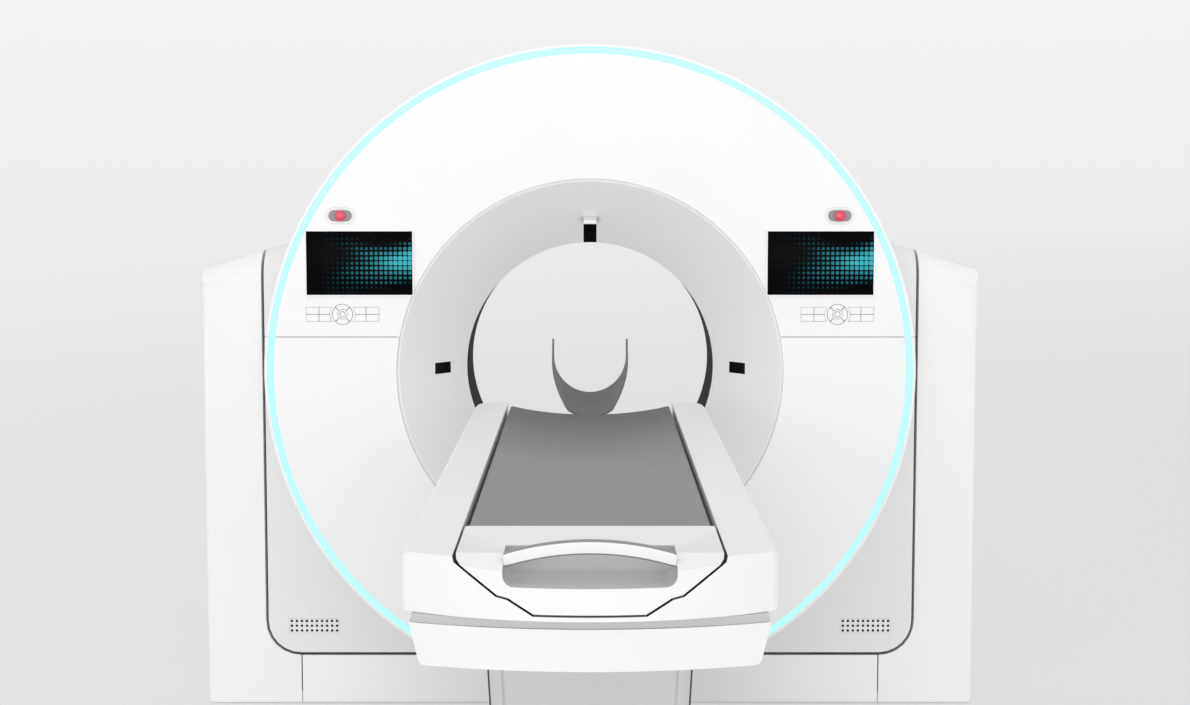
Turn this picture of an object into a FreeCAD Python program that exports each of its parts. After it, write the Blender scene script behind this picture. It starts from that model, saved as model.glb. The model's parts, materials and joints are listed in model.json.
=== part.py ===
"""A CT scanner: a tilting ring gantry between two towers, and its patient table.

Millimetres. X is across the gantry, +Y runs from the foot of the table into the
gantry and Z is up. The origin is on the floor, right below the isocentre.
"""
import FreeCAD
import Part
import math
import os

# ---------------------------------------------------------------- driving sizes
TILT_R = 869.0              # round underside of the head, about the tilt axis
HEAD_LOW = 142.0            # lowest point of the head, above the floor
ISO_Z = HEAD_LOW + TILT_R   # height of the isocentre and of the tilt axis
FIT = 0.3                   # between pieces that seat on each other
RUN = 4.0                   # running gap between telescoping covers

# bore
BORE_R = 360.0
WINDOW_HALF = 142.5         # half length of the dark scan window
WINDOW_WALL = 4.0
FLARE_R = 542.0             # mouth of the flare
FLARE_Y = 366.0             # from the scan plane to the mouth and to the flat round covers
FLARE_WALL = 5.0

# round covers
DISC_R = 918.0
COVER_WALL = 6.0
LIP_GAP = 2.5               # round the mouth of the flare
FLARE_LAP = 5.0             # the flare reaches this far behind the cover
RING_IN = 891.0             # light ring
RING_OUT = 909.0
RING_DEPTH = 3.5
SEAM_Z = ISO_Z + 101.0      # joint line between the upper and lower front covers
SHELL_SEAM_Z = ISO_Z + 84.0     # and between the two halves of the housing
SEAM = 1.6
DRUM_END = FLARE_Y - COVER_WALL - FIT

# housing of the tilting head
FRONT_Y = -144.0
REAR_Y = 236.0
HEAD_HALF = 953.0
CORNER_R = 95.0
RIM_CHORDS = 6              # flats that make up its rounded lower corners
HIDDEN_SIDES = 48           # round skins that covers hide have this many flats

# towers and base
TOWER_GAP = 8.0
TOWER_W = 176.0
TOWER_HALF = HEAD_HALF + TOWER_GAP + TOWER_W
TOWER_WALL = 5.0
SHOULDER_Z = ISO_Z + 336.0  # top of the shoulder at the tower gap
SHOULDER_RISE = 0.281
TOP_ROUND = 75.0
SIDE_ROUND = 24.0
PANEL_HALF = 854.5
PANEL_SEAM = 3.0
COVER_FOOT = 3.0            # covers stop this far above the floor
FOOT_H = 30.0
FOOT_R = 38.0
BEAM_TOP = 105.0
BASE_PLATE = 25.0
BASE_MARGIN = 25.0          # from the covers to the base plate, front and rear
BEAM_INSET = 20.0
BAY = 330.0                 # openings in the base beam
BAY_RIB = 60.0
RIB_X = 630.0               # ribs that carry the base panels
RIB_HALF = 12.0
PILLAR_IN = HEAD_HALF + TOWER_GAP + TOWER_WALL + 19.0
PILLAR_OUT = TOWER_HALF - 62.0
PILLAR_R = 105.0
PILLAR_WEB = 15.0
WEB_HALF = 60.0
TRUNNION_R = 45.0
PIN_SIDES = 12              # of the openings round the trunnions
ANCHOR_D = 18.0
ANCHOR_X = 2 * (PILLAR_OUT + 25.0)      # spacing of the gantry's floor anchors
ANCHOR_Y = 260.0

# tilting frame and rotor
FRAME_Y0 = 150.0
FRAME_Y1 = 182.0
FRAME_R1 = TILT_R - 79.0
SLOT_HALF = 95.0            # lightening slots of the frame
ARM_HALF = 110.0
ARM_FRONT = -70.0
ROTOR_Y0 = 70.0
ROTOR_Y1 = 112.0
ROTOR_R0 = BORE_R + 32.0
ROTOR_R1 = FRAME_R1 - 15.0
HUB_END = FRAME_Y1 - 14.0
RACE_R0 = ROTOR_R0 + 32.0   # the fixed ring of the main bearing
RACE_R1 = RACE_R0 + 68.0
RACE_GAP = 0.3
PLATE_SIDES = 32            # of the hidden rotor and bearing plates
TUBE_R = ROTOR_R1 - 185.0   # tube axis from the isocentre
TUBE_BODY_R = 105.0
TUBE_Y0 = -95.0
TUBE_Y1 = 55.0
TUBE_CAP = 23.0
TUBE_CAP_HALF = 60.0
TUBE_FOOT_X = 80.0
TUBE_FOOT_Z = 90.0
COLLIMATOR_TOP = 55.0
COLLIMATOR_LOW = 90.0
COLLIMATOR_LONG = 75.0
DETECTOR_REACH = TUBE_R + 485.0     # tube focus to the back of the detector
DETECTOR_DEPTH = 75.0
DETECTOR_Y0 = -60.0
POWER_R0 = ROTOR_R0 + 58.0  # power boxes on the rotor
POWER_R1 = ROTOR_R1 - 30.0
POWER_W = 330.0
POWER_Y0 = -80.0
POWER_ANGLE = 82.0
DETECTOR_HALF_ANGLE = 25.0

# controls on the upper front cover
SCREEN_X = 645.5
SCREEN_Z = 308.7            # above the isocentre, as are the next two
SCREEN_W = 305.0
SCREEN_H = 186.0
SCREEN_EDGE = 4.0
SCREEN_PROUD = 8.0
GLASS_THICK = 5.0
GLASS_INSET = 1.0
STOP_X = 698.5
STOP_Z = 440.7
STOP_W = 66.0
STOP_H = 31.0
STOP_SINK = 1.0
BUTTON_R = 14.2
BUTTON_SIDES = 32
BUTTON_TALL = 11.0
BUTTON_LIFT = 4.0
STEM_R = 6.0
STEM_SIDES = 6
STEM_GAP = 0.6
STOP_TRAVEL = 4.0
PAD_X = 694.9
PAD_Z = 164.8
NAV_R = 28.6
NAV_SIDES = 36
NAV_HOLE_R = 8.0
CENTRE_R = 7.2
CENTRE_SIDES = 12
KEY_W = 35.3
KEY_H = 19.0
KEY_SPACE = 1.4
KEY_GAP = 0.8
KEY_OUTER = 102.0           # half length of the whole keypad
KEY_BITE_R = 36.5           # round inner ends of the keys
KEY_BITE_SIDES = 24
KEY_PROUD = 0.3
KEY_DEEP = 5.0
TRAY_THICK = 3.0            # plate behind the keys
TRAY_MARGIN = 8.0
LASER_W = 37.0
LASER_LONG = 55.0
HOOD_LONG = 20.0
HOOD_PROUD = 14.0
SIDE_LASER_R = 425.0
SIDE_LASER_W = 41.0
SIDE_LASER_H = 32.0
GRILLE_X = 817.5
GRILLE_Z = HEAD_LOW + 92.0
GRILLE_COLS = 10
GRILLE_ROWS = 3
GRILLE_PITCH_X = 14.9
GRILLE_PITCH_Z = 14.4
GRILLE_HOLE = 8.0

# table top
TABLE_TOP = ISO_Z - 64.0
TABLE_HALF = 310.0
TABLE_REAR = -526.0
FASCIA_SIDE_Y = -2650.0
FASCIA_MID_Y = -2738.0
FASCIA_BOTTOM = TABLE_TOP - 97.0
FASCIA_BACK = -2619.0
CHANNEL_HALF = 223.0
EDGE_EASE = 8.0
FRONT_CORNER = 26.0
REAR_CORNER = 70.0
DECK_H = 15.0
DECK_INSET = 4.0
SKIRT_TOP_HALF = 295.0
SKIRT_BOTTOM_HALF = 279.0
SKIRT_H = 72.0
SKIRT_MID_Y = -2725.0
SKIRT_SIDE_Y = -2673.0
SKIRT_REAR = -619.0
SKIRT_LEAN = 12.0           # its front leans back by this much
SKIRT_CORNER = 10.0
SKIRT_WALL = 5.0

# cradle
DISH_R = 1011.0
DISH = 24.0
PAD_THICK = 20.0
PAD_ROUND = 3.0
PAD_HALF = 217.0
PAD_FRONT = -2410.0
CRADLE_REAR = -596.0
BOARD_THICK = 12.0
CAP_BACK = -2413.0
CAP_CORNERS = ((219.0, 0.0), (217.0, 6.0), (149.0, 57.0), (131.0, 61.0), (90.0, 86.0))
CAP_GAP = 3.5
CAP_EDGE_Y = -2657.0
CAP_SLOPE = 0.27
POCKET_HALF = 140.0
POCKET_Z = TABLE_TOP - 43.0
POCKET_CORNER = 18.0
POCKET_BACK = -2594.0
HANDLE_Y0 = -2693.0
HANDLE_Y1 = -2677.0
HANDLE_END_Z = TABLE_TOP - 6.0
HANDLE_RISE = 21.0
HANDLE_TALL = 25.0
RAIL_X = 180.0
RAIL_W = 26.0
RAIL_H = 28.0
CARRIAGE_YS = (-2339.0, -2099.0)
HOLDER_FAR = -372.0
HOLDER_HALF = 106.0
HOLDER_TIP_Z = TABLE_TOP + 162.0
HOLDER_LOW_Z = TABLE_TOP + 5.0
HOLDER_WALL = 5.5
HOLDER_SWEEP = 0.36         # how far up its sides stand, halfway along
NECK_HALF = 32.0            # half width of the tongue under the board
NECK_Z = TABLE_TOP - 35.0
NECK_RISE = 20.0
TONGUE_LONG = 90.0
TONGUE_THICK = 9.0

# table stand
STAND_FRONT = -2207.0
STAND_REAR = -825.0
STAND_HALF = 202.0
STAND_TAPER = 16.0          # the upper cover narrows by this on each side
STAND_WALL = 4.0
STAND_CORNER = 26.0
GROOVE_INSET = 2.0
GROOVE_W = 4.0
GROOVE_DEEP = 2.0
UPPER_LOW = 460.0
MID_TOP = 541.0
MID_LOW = 245.0
LOWER_TOP = 285.0
PLATE_H = 25.0
PLATE_HALF = 262.0
PLATE_MARGIN = 75.0
BRIDGE = 11.0               # plate that ties the middle stages
BEAM_X = 170.0              # beams of the moving frame
BEAM_HALF = 30.0
COLUMN_W = 240.0
COLUMN_WALL = 10.0
COLUMN_GAP = 0.7
COLUMN_TOP = 310.0
MID_COLUMN_LOW = 240.0
LIFT_COLUMN_LOW = 455.0
COLUMN_YS = (-1909.0, -1109.0)
TABLE_ANCHOR_X = 460.0
TABLE_ANCHOR_Y = 1440.0

SKIRT_TOP = FASCIA_BOTTOM - DECK_H
SKIRT_BOTTOM = SKIRT_TOP - SKIRT_H
STAND_MID_Y = (STAND_FRONT + STAND_REAR) / 2
SIDES = (("left", -1), ("right", 1))

ORIGIN = FreeCAD.Vector(0, 0, 0)
ISO = FreeCAD.Vector(0, 0, ISO_Z)
AXIS_X = FreeCAD.Vector(1, 0, 0)
AXIS_Y = FreeCAD.Vector(0, 1, 0)
AXIS_Z = FreeCAD.Vector(0, 0, 1)


# ---------------------------------------------------------------- helpers
def vec(x, y, z):
    return FreeCAD.Vector(x, y, z)


def box(x0, x1, y0, y1, z0, z1):
    """A block between two corners."""
    return Part.makeBox(x1 - x0, y1 - y0, z1 - z0, vec(x0, y0, z0))


def disc_y(radius, y0, y1, x=0.0, z=ISO_Z):
    """A cylinder along Y."""
    return Part.makeCylinder(radius, y1 - y0, vec(x, y0, z), AXIS_Y)


def ring_y(inner, outer, y0, y1):
    """A flat ring round the bore."""
    return disc_y(outer, y0, y1).cut(disc_y(inner, y0 - 1, y1 + 1))


def prism(points, direction):
    """A polygon of corner points, pushed along a vector."""
    return Part.Face(Part.makePolygon(points + points[:1])).extrude(direction)


def prism_y(corners, y0, y1):
    """A polygon of (x, z) corners, pushed along Y."""
    return prism([vec(x, y0, z) for x, z in corners], vec(0, y1 - y0, 0))


def many_sided(count, radius, z0, z1, x=0.0, y=0.0):
    """An upright prism with equal sides; radius is to its corners."""
    angles = [2 * math.pi * (i + 0.5) / count for i in range(count)]
    corners = [vec(x + radius * math.cos(a), y + radius * math.sin(a), z0) for a in angles]
    return prism(corners, vec(0, 0, z1 - z0))


def many_sided_y(count, flat_radius, y0, y1):
    """A prism along the bore with equal sides; the radius is to its flats."""
    solid = many_sided(count, flat_radius / math.cos(math.pi / count), 0, y1 - y0)
    solid.rotate(ORIGIN, AXIS_X, 90)
    solid.translate(vec(0, y1, ISO_Z))
    return solid


def many_sided_x(count, flat_radius, x0, x1):
    """The same, along the tilt axis."""
    solid = many_sided(count, flat_radius / math.cos(math.pi / count), 0, x1 - x0)
    solid.rotate(ORIGIN, AXIS_Y, 90)
    solid.translate(vec(x0, 0, ISO_Z))
    return solid


def eased(before, corner, after, reach, steps=4):
    """Points of a smooth turn that takes the place of an outline's corner."""
    def toward(point):
        dx, dz = point[0] - corner[0], point[1] - corner[1]
        share = reach / math.hypot(dx, dz)
        return corner[0] + dx * share, corner[1] + dz * share

    start, end = toward(before), toward(after)
    points = []
    for step in range(steps + 1):
        t = step / steps
        points.append(tuple((1 - t) ** 2 * a + 2 * t * (1 - t) * b + t ** 2 * c
                            for a, b, c in zip(start, corner, end)))
    return points


def turned(edges, angle=360.0):
    """A closed profile in the YZ plane, turned round the axis of the bore."""
    return Part.Face(Part.Wire(edges)).revolve(ISO, AXIS_Y, angle)


def profile_point(radius, y):
    return vec(0, y, ISO_Z + radius)


def line(a, b):
    return Part.LineSegment(a, b).toShape()


def arc(a, middle, b):
    return Part.Arc(a, middle, b).toShape()


def lines(points):
    return [line(a, b) for a, b in zip(points, points[1:])]


def mirrored(shape):
    """The same piece on the other side of the machine."""
    return shape.mirror(ORIGIN, AXIS_X)


def on_side(shape, side):
    return shape if side > 0 else mirrored(shape)


def edges_where(shape, test):
    return [edge for edge in shape.Edges if test(edge)]


def edge_box(edge, axis):
    bound = edge.BoundBox
    return {"x": (bound.XMin, bound.XMax), "y": (bound.YMin, bound.YMax),
            "z": (bound.ZMin, bound.ZMax)}[axis]


def edge_at(edge, axis, value, slack=0.01):
    """Whether an edge lies all along one coordinate."""
    low, high = edge_box(edge, axis)
    return abs(low - value) < slack and abs(high - value) < slack


def group(shapes):
    """Several loose solids that share a node."""
    return Part.makeCompound(shapes)


def rounded_rect(half_x, y0, y1, z, corner):
    """A flat closed outline with round corners, at one height."""
    c = corner * (1 - math.sqrt(0.5))
    return Part.Wire([
        line(vec(-half_x + corner, y0, z), vec(half_x - corner, y0, z)),
        arc(vec(half_x - corner, y0, z), vec(half_x - c, y0 + c, z), vec(half_x, y0 + corner, z)),
        line(vec(half_x, y0 + corner, z), vec(half_x, y1 - corner, z)),
        arc(vec(half_x, y1 - corner, z), vec(half_x - c, y1 - c, z), vec(half_x - corner, y1, z)),
        line(vec(half_x - corner, y1, z), vec(-half_x + corner, y1, z)),
        arc(vec(-half_x + corner, y1, z), vec(-half_x + c, y1 - c, z), vec(-half_x, y1 - corner, z)),
        line(vec(-half_x, y1 - corner, z), vec(-half_x, y0 + corner, z)),
        arc(vec(-half_x, y0 + corner, z), vec(-half_x + c, y0 + c, z), vec(-half_x + corner, y0, z)),
    ])


# ---------------------------------------------------------------- round covers
def turned_profile(points, face):
    """A polygon of (radius, distance) corners, turned round the bore. face is -1 or 1."""
    corners = [profile_point(radius, face * y) for radius, y in points]
    return turned(lines(corners + corners[:1]))


def tilt_barrel(radius, half):
    """The round volume in which the underside of the head swings. Its rims turn in short chords."""
    corner = CORNER_R + radius - TILT_R
    rim = []
    for step in range(RIM_CHORDS + 1):
        angle = math.pi / 2 * step / RIM_CHORDS
        rim.append((half - corner * (1 - math.cos(angle)), radius - corner * (1 - math.sin(angle))))
    outline = [(half, 0)] + rim
    outline += [(-x, reach) for x, reach in reversed(outline)]
    points = [vec(x, 0, ISO_Z - reach) for x, reach in outline]
    return Part.Face(Part.makePolygon(points + points[:1])).revolve(ISO, AXIS_X, 360)


def plain_barrel(radius, half):
    return Part.makeCylinder(radius, 2 * half, vec(-half, 0, ISO_Z), AXIS_X)


def below_barrel(barrel):
    """What a round underside takes away from the lower half of a piece."""
    deep = 3 * FLARE_Y
    lower = box(-1.5 * TOWER_HALF, 1.5 * TOWER_HALF, -deep, deep, -ISO_Z, ISO_Z)
    return lower.cut(barrel)


def flare_radius(y):
    """Radius of the visible cone of the flare, at a distance from the scan plane."""
    return BORE_R + (y - WINDOW_HALF) * (FLARE_R - BORE_R) / (FLARE_Y - WINDOW_HALF)


def flare_wall():
    """Thickness of the flare's wall, measured across the bore."""
    return FLARE_WALL * math.hypot(FLARE_R - BORE_R, FLARE_Y - WINDOW_HALF) / (FLARE_Y - WINDOW_HALF)


def flare_skin(low, high, face):
    """A turned skin along the flare, between two offsets from its visible surface."""
    rise, run = FLARE_R - BORE_R, FLARE_Y - WINDOW_HALF
    length = math.hypot(rise, run)

    def at(radius, y, offset):
        return radius - offset * run / length, y + offset * rise / length

    return turned_profile([at(BORE_R, WINDOW_HALF, low), at(BORE_R, WINDOW_HALF, high),
                           at(FLARE_R, FLARE_Y, high), at(FLARE_R, FLARE_Y, low)], face)


def laser_boxes(extra=0.0):
    """Where the laser windows and the hood cross the front flare."""
    deep = (-FLARE_Y - 50, -WINDOW_HALF)
    half = LASER_W / 2 + extra
    top = box(-half, half, *deep, ISO_Z + BORE_R - 20, ISO_Z + BORE_R + LASER_LONG + extra)
    hood_z = ISO_Z + BORE_R + LASER_LONG + FIT
    hood = box(-half, half, *deep, hood_z - extra, hood_z + HOOD_LONG + extra)
    tall = SIDE_LASER_H / 2 + extra
    wide = SIDE_LASER_W / 2 + extra
    side = box(SIDE_LASER_R - wide, SIDE_LASER_R + wide, *deep, ISO_Z - tall, ISO_Z + tall)
    return top, hood, side


def flat_sided_cone(near, far, y0, y1):
    """A solid funnel with flat sides, along the bore; near and far are the radii to its flats."""
    def corner(flat_radius, y, number):
        angle = 2 * math.pi * number / HIDDEN_SIDES
        reach = flat_radius / math.cos(math.pi / HIDDEN_SIDES)
        return vec(reach * math.cos(angle), y, ISO_Z + reach * math.sin(angle))

    faces = []
    for i in range(HIDDEN_SIDES):
        side = [corner(near, y0, i), corner(near, y0, i + 1), corner(far, y1, i + 1), corner(far, y1, i)]
        faces.append(Part.Face(Part.makePolygon(side + side[:1])))
    for radius, y in ((near, y0), (far, y1)):
        end = [corner(radius, y, i) for i in range(HIDDEN_SIDES)]
        faces.append(Part.Face(Part.makePolygon(end + end[:1])))
    return Part.makeSolid(Part.makeShell(faces))


def flare_opening(y0, y1):
    """The round cone that the flare's visible face bounds."""
    return Part.makeCone(flare_radius(y0), flare_radius(y1), y1 - y0, vec(0, y0, ISO_Z), AXIS_Y)


def make_front_flare():
    """The flare on the table side, with its laser openings and the hood over the top one."""
    top, hood_place, side = laser_boxes(FIT)
    mouth = FLARE_R + LIP_GAP + FLARE_LAP
    skin = flat_sided_cone(BORE_R + flare_wall(), mouth, WINDOW_HALF, DRUM_END)
    skin = skin.cut(flare_opening(WINDOW_HALF - 1, DRUM_END + 1)).mirror(ORIGIN, AXIS_Y)
    hood = flare_skin(-FLARE_WALL, HOOD_PROUD, -1).common(hood_place)
    return skin.fuse(hood).cut([top, side, mirrored(side)]).removeSplitter()


def make_laser_windows():
    top, _, side = laser_boxes()
    skin = flare_skin(-FLARE_WALL, -FIT, -1)
    window = skin.common(side)
    return group([skin.common(top), window, mirrored(window)])


def make_scan_window():
    half = WINDOW_HALF - FIT
    tube = many_sided_y(HIDDEN_SIDES, BORE_R + WINDOW_WALL, -half, half)
    return tube.cut(disc_y(BORE_R, -half - 1, half + 1))


def make_rear_cover():
    """The rear cover and its flare, in one moulding."""
    skin = FLARE_Y - COVER_WALL
    funnel = flat_sided_cone(BORE_R + flare_wall(), flare_radius(skin) + flare_wall(), WINDOW_HALF, skin)
    cover = funnel.fuse(disc_y(DISC_R, skin, FLARE_Y)).cut(flare_opening(WINDOW_HALF - 1, FLARE_Y + 1))
    return cover.cut(below_barrel(plain_barrel(TILT_R, HEAD_HALF))).removeSplitter()


def make_light_ring(extra=0.0):
    """The ring of light, or with some extra room the groove that it sits in."""
    ring = ring_y(RING_IN - extra, RING_OUT + extra, -FLARE_Y - extra, -FLARE_Y + RING_DEPTH + extra)
    return ring.cut(below_barrel(plain_barrel(TILT_R, HEAD_HALF)))


# ---------------------------------------------------------------- controls
def on_front(shape, x, up):
    """Move a piece drawn lying flat onto the front cover: its Z becomes the way out."""
    moved = shape.copy()
    moved.Placement = FreeCAD.Placement(vec(x, -FLARE_Y, ISO_Z + up), FreeCAD.Rotation(AXIS_X, 90))
    return moved


def oblong(width, height, z0, z1):
    """A plate with round ends, lying flat."""
    half, radius = width / 2 - height / 2, height / 2
    edges = [line(vec(-half, -radius, z0), vec(half, -radius, z0)),
             arc(vec(half, -radius, z0), vec(half + radius, 0, z0), vec(half, radius, z0)),
             line(vec(half, radius, z0), vec(-half, radius, z0)),
             arc(vec(-half, radius, z0), vec(-half - radius, 0, z0), vec(-half, -radius, z0))]
    return Part.Face(Part.Wire(edges)).extrude(vec(0, 0, z1 - z0))


def key_places():
    """Name, column and row of each of the eight straight keys of one keypad."""
    inner = KEY_OUTER - KEY_W - KEY_SPACE - KEY_W / 2
    outer = KEY_OUTER - KEY_W / 2
    rows = (("upper", 1), ("lower", -1))
    columns = ((1, -outer), (2, -inner), (3, inner), (4, outer))
    return [(f"{row}_key_{number}", across, way * (KEY_H + KEY_SPACE) / 2)
            for row, way in rows for number, across in columns]


def key_solid(across, up, extra, z0, z1):
    """One straight key, with its inner end cut back round the ring."""
    half_w, half_h = KEY_W / 2 + extra, KEY_H / 2 + extra
    key = box(-half_w, half_w, -half_h, half_h, z0, z1)
    return key.cut(many_sided(KEY_BITE_SIDES, KEY_BITE_R - extra, z0 - 1, z1 + 1, -across, -up))


def keypad_solids(side, extra, z0, z1):
    """All keys of one keypad, by name."""
    x = side * PAD_X
    keys = {name: on_front(key_solid(across, up, extra, z0, z1), x + across, PAD_Z + up)
            for name, across, up in key_places()}
    ring = many_sided(NAV_SIDES, NAV_R + extra, z0, z1)
    if extra == 0:
        ring = ring.cut(many_sided(CENTRE_SIDES, NAV_HOLE_R, z0 - 1, z1 + 1))
        keys["centre_key"] = on_front(many_sided(CENTRE_SIDES, CENTRE_R, z0, z1), x, PAD_Z)
    keys["ring_key"] = on_front(ring, x, PAD_Z)
    return keys


def screen_box(side, grow, y0, y1):
    half_w, half_h = SCREEN_W / 2 + grow, SCREEN_H / 2 + grow
    x, z = side * SCREEN_X, ISO_Z + SCREEN_Z
    return box(x - half_w, x + half_w, y0, y1, z - half_h, z + half_h)


def make_screen_bezel(side):
    """A shallow tray on the front cover, with a thin frame round the glass."""
    face = -FLARE_Y - SCREEN_PROUD
    tray = screen_box(side, 0, face, -FLARE_Y)
    corners = edges_where(tray, lambda e: e.BoundBox.YLength > e.BoundBox.XLength + e.BoundBox.ZLength)
    tray = tray.makeFillet(SCREEN_EDGE, corners)
    return tray.cut(screen_box(side, -SCREEN_EDGE, face - 1, face + GLASS_INSET + GLASS_THICK + FIT))


def make_screen_panel(side):
    face = -FLARE_Y - SCREEN_PROUD + GLASS_INSET
    return screen_box(side, -SCREEN_EDGE - FIT, face, face + GLASS_THICK)


def make_control_plates(side):
    """The sunken plate round the stop button, and the plate behind the keys."""
    plate = oblong(STOP_W, STOP_H, -STOP_SINK - COVER_WALL, -STOP_SINK)
    plate = plate.cut(many_sided(STEM_SIDES, STEM_R + STEM_GAP, -COVER_WALL - 2, 1))
    back = -COVER_WALL - FIT
    half_w, half_h = KEY_OUTER + TRAY_MARGIN, NAV_R + TRAY_MARGIN
    tray = box(-half_w, half_w, -half_h, half_h, back - TRAY_THICK, back)
    return [on_front(plate, side * STOP_X, STOP_Z), on_front(tray, side * PAD_X, PAD_Z)]


def make_stop_button(side):
    head = many_sided(BUTTON_SIDES, BUTTON_R, BUTTON_LIFT, BUTTON_TALL)
    stem = many_sided(STEM_SIDES, STEM_R, -COVER_WALL - 12, BUTTON_LIFT)
    return on_front(head.fuse(stem).removeSplitter(), side * STOP_X, STOP_Z)


def make_front_covers():
    """The upper and lower front covers, with every hole that the controls need."""
    cover = ring_y(FLARE_R + LIP_GAP, DISC_R, -FLARE_Y, -FLARE_Y + COVER_WALL).cut(make_light_ring(FIT))
    cover = cover.cut(below_barrel(plain_barrel(TILT_R, HEAD_HALF)))
    far = 2 * TOWER_HALF
    seam = box(-far, far, -far, far, SEAM_Z - SEAM / 2, SEAM_Z + SEAM / 2)
    above = box(-far, far, -far, far, SEAM_Z, far)
    upper = cover.common(above).cut(seam)
    lower = cover.cut(above).cut(seam)
    holes = []
    for _, side in SIDES:
        hole = oblong(STOP_W + 2 * FIT, STOP_H + 2 * FIT, -COVER_WALL - 1, 1)
        holes.append(on_front(hole, side * STOP_X, STOP_Z))
        holes += keypad_solids(side, KEY_GAP, -COVER_WALL - 1, 1).values()
    return upper.cut(holes), lower


# ---------------------------------------------------------------- head housing
def shoulder_z(x):
    """Height of the sloping shoulder that runs on from the head to the towers."""
    return SHOULDER_Z + SHOULDER_RISE * (HEAD_HALF + TOWER_GAP / 2 - x)


def round_top_edges(shape, inset, y0, y1):
    """Round the long front and rear edges of a sloping shoulder. Inside, a flat will do."""
    slanted = edges_where(shape, lambda e: (edge_at(e, "y", y0) or edge_at(e, "y", y1))
                          and e.BoundBox.XLength > 20 and e.BoundBox.ZLength > 5)
    if inset:
        return shape.makeChamfer(TOP_ROUND * 0.85, slanted)
    return shape.makeFillet(TOP_ROUND, slanted)


def housing_solid(inset):
    """The head's body: a drum with a shoulder on either side, and a round underside."""
    y0, y1 = FRONT_Y + inset, REAR_Y - inset
    half = HEAD_HALF - inset
    ridge = 700.0
    drop = inset * math.hypot(1, SHOULDER_RISE)
    outline = [(-half, 0), (half, 0), (half, shoulder_z(half) - drop), (ridge, shoulder_z(ridge) - drop),
               (-ridge, shoulder_z(ridge) - drop), (-half, shoulder_z(half) - drop)]
    block = round_top_edges(prism_y(outline, y0, y1), inset, y0, y1)
    if inset:
        end = DRUM_END + FIT
        hidden = (DISC_R - inset) * math.cos(math.pi / HIDDEN_SIDES)
        drum = many_sided_y(HIDDEN_SIDES, hidden, -end, end)
        barrel = plain_barrel(TILT_R - inset, HEAD_HALF - CORNER_R)
        barrel = barrel.fuse(plain_barrel(TILT_R - CORNER_R, half))
    else:
        drum = disc_y(DISC_R, -DRUM_END, DRUM_END)
        barrel = tilt_barrel(TILT_R, half)
    return block.fuse(drum).cut(below_barrel(barrel))


def grille_place(grow, y0, y1):
    """The flat piece of the front wall that carries the speaker holes."""
    half_w = GRILLE_COLS * GRILLE_PITCH_X / 2 + grow
    half_h = GRILLE_ROWS * GRILLE_PITCH_Z / 2 + grow
    return box(GRILLE_X - half_w, GRILLE_X + half_w, y0, y1, GRILLE_Z - half_h, GRILLE_Z + half_h)


def make_head_shells():
    """The upper and lower half of the housing between the front and rear covers."""
    shell = housing_solid(0).cut(housing_solid(COVER_WALL))
    far = 2 * TOWER_HALF
    pin = many_sided_x(PIN_SIDES, TRUNNION_R + 6, -far, far)
    grille = grille_place(FIT, FRONT_Y - 1, FRONT_Y + COVER_WALL + 1)
    shell = shell.cut([pin, grille, mirrored(grille)])
    seam = box(-far, far, -far, far, SHELL_SEAM_Z - SEAM / 2, SHELL_SEAM_Z + SEAM / 2)
    above = box(-far, far, -far, far, SHELL_SEAM_Z, far)
    return shell.common(above).cut(seam), shell.cut(above).cut(seam)


def grille_hole(x, z, y0, y1):
    half = GRILLE_HOLE / 2
    return box(x - half, x + half, y0, y1, z - half, z + half)


def make_speaker_grilles():
    plate = grille_place(0, FRONT_Y, FRONT_Y + COVER_WALL)
    holes = []
    for column in range(GRILLE_COLS):
        for row in range(GRILLE_ROWS):
            x = GRILLE_X + (column - (GRILLE_COLS - 1) / 2) * GRILLE_PITCH_X
            z = GRILLE_Z + (row - (GRILLE_ROWS - 1) / 2) * GRILLE_PITCH_Z
            holes.append(grille_hole(x, z, FRONT_Y - 1, FRONT_Y + COVER_WALL + 1))
    plate = plate.cut(holes)
    return group([plate, mirrored(plate)])


# ---------------------------------------------------------------- towers and base
def tower_solid(inset, barrel_radius):
    """One tower seen from the front: slope, outer side, and a foot under the head. The inset
    one, which hollows it out, also opens the foot towards the base."""
    inner = HEAD_HALF + TOWER_GAP + inset
    outer = TOWER_HALF - inset
    foot = PANEL_HALF + PANEL_SEAM - inset
    knee = ISO_Z - TILT_R + 2 * CORNER_R
    drop = inset * math.hypot(1, SHOULDER_RISE)
    bottom = COVER_FOOT if inset == 0 else 0
    y0, y1 = FRONT_Y + inset, REAR_Y - inset
    outline = [(foot, bottom), (outer, bottom), (outer, shoulder_z(outer) - drop),
               (inner, shoulder_z(inner) - drop), (inner, knee), (foot, knee)]
    tower = round_top_edges(prism_y(outline, y0, y1), inset, y0, y1)
    half = HEAD_HALF + barrel_radius - TILT_R
    if inset:
        side_edges = edges_where(tower, lambda e: edge_at(e, "x", outer) and not edge_at(e, "z", bottom))
        return tower.makeChamfer(SIDE_ROUND * 0.8, side_edges).cut(plain_barrel(barrel_radius, half))
    top_turn = eased(outline[1], outline[2], outline[3], SIDE_ROUND)
    seen_from_front = prism_y(outline[:2] + top_turn + outline[3:], y0, y1)
    plan = rounded_rect(outer, y0, y1, bottom, SIDE_ROUND)
    seen_from_above = Part.Face(plan).extrude(vec(0, 0, 2 * ISO_Z))
    return tower.common(seen_from_front).common(seen_from_above).cut(tilt_barrel(barrel_radius, half))


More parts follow.
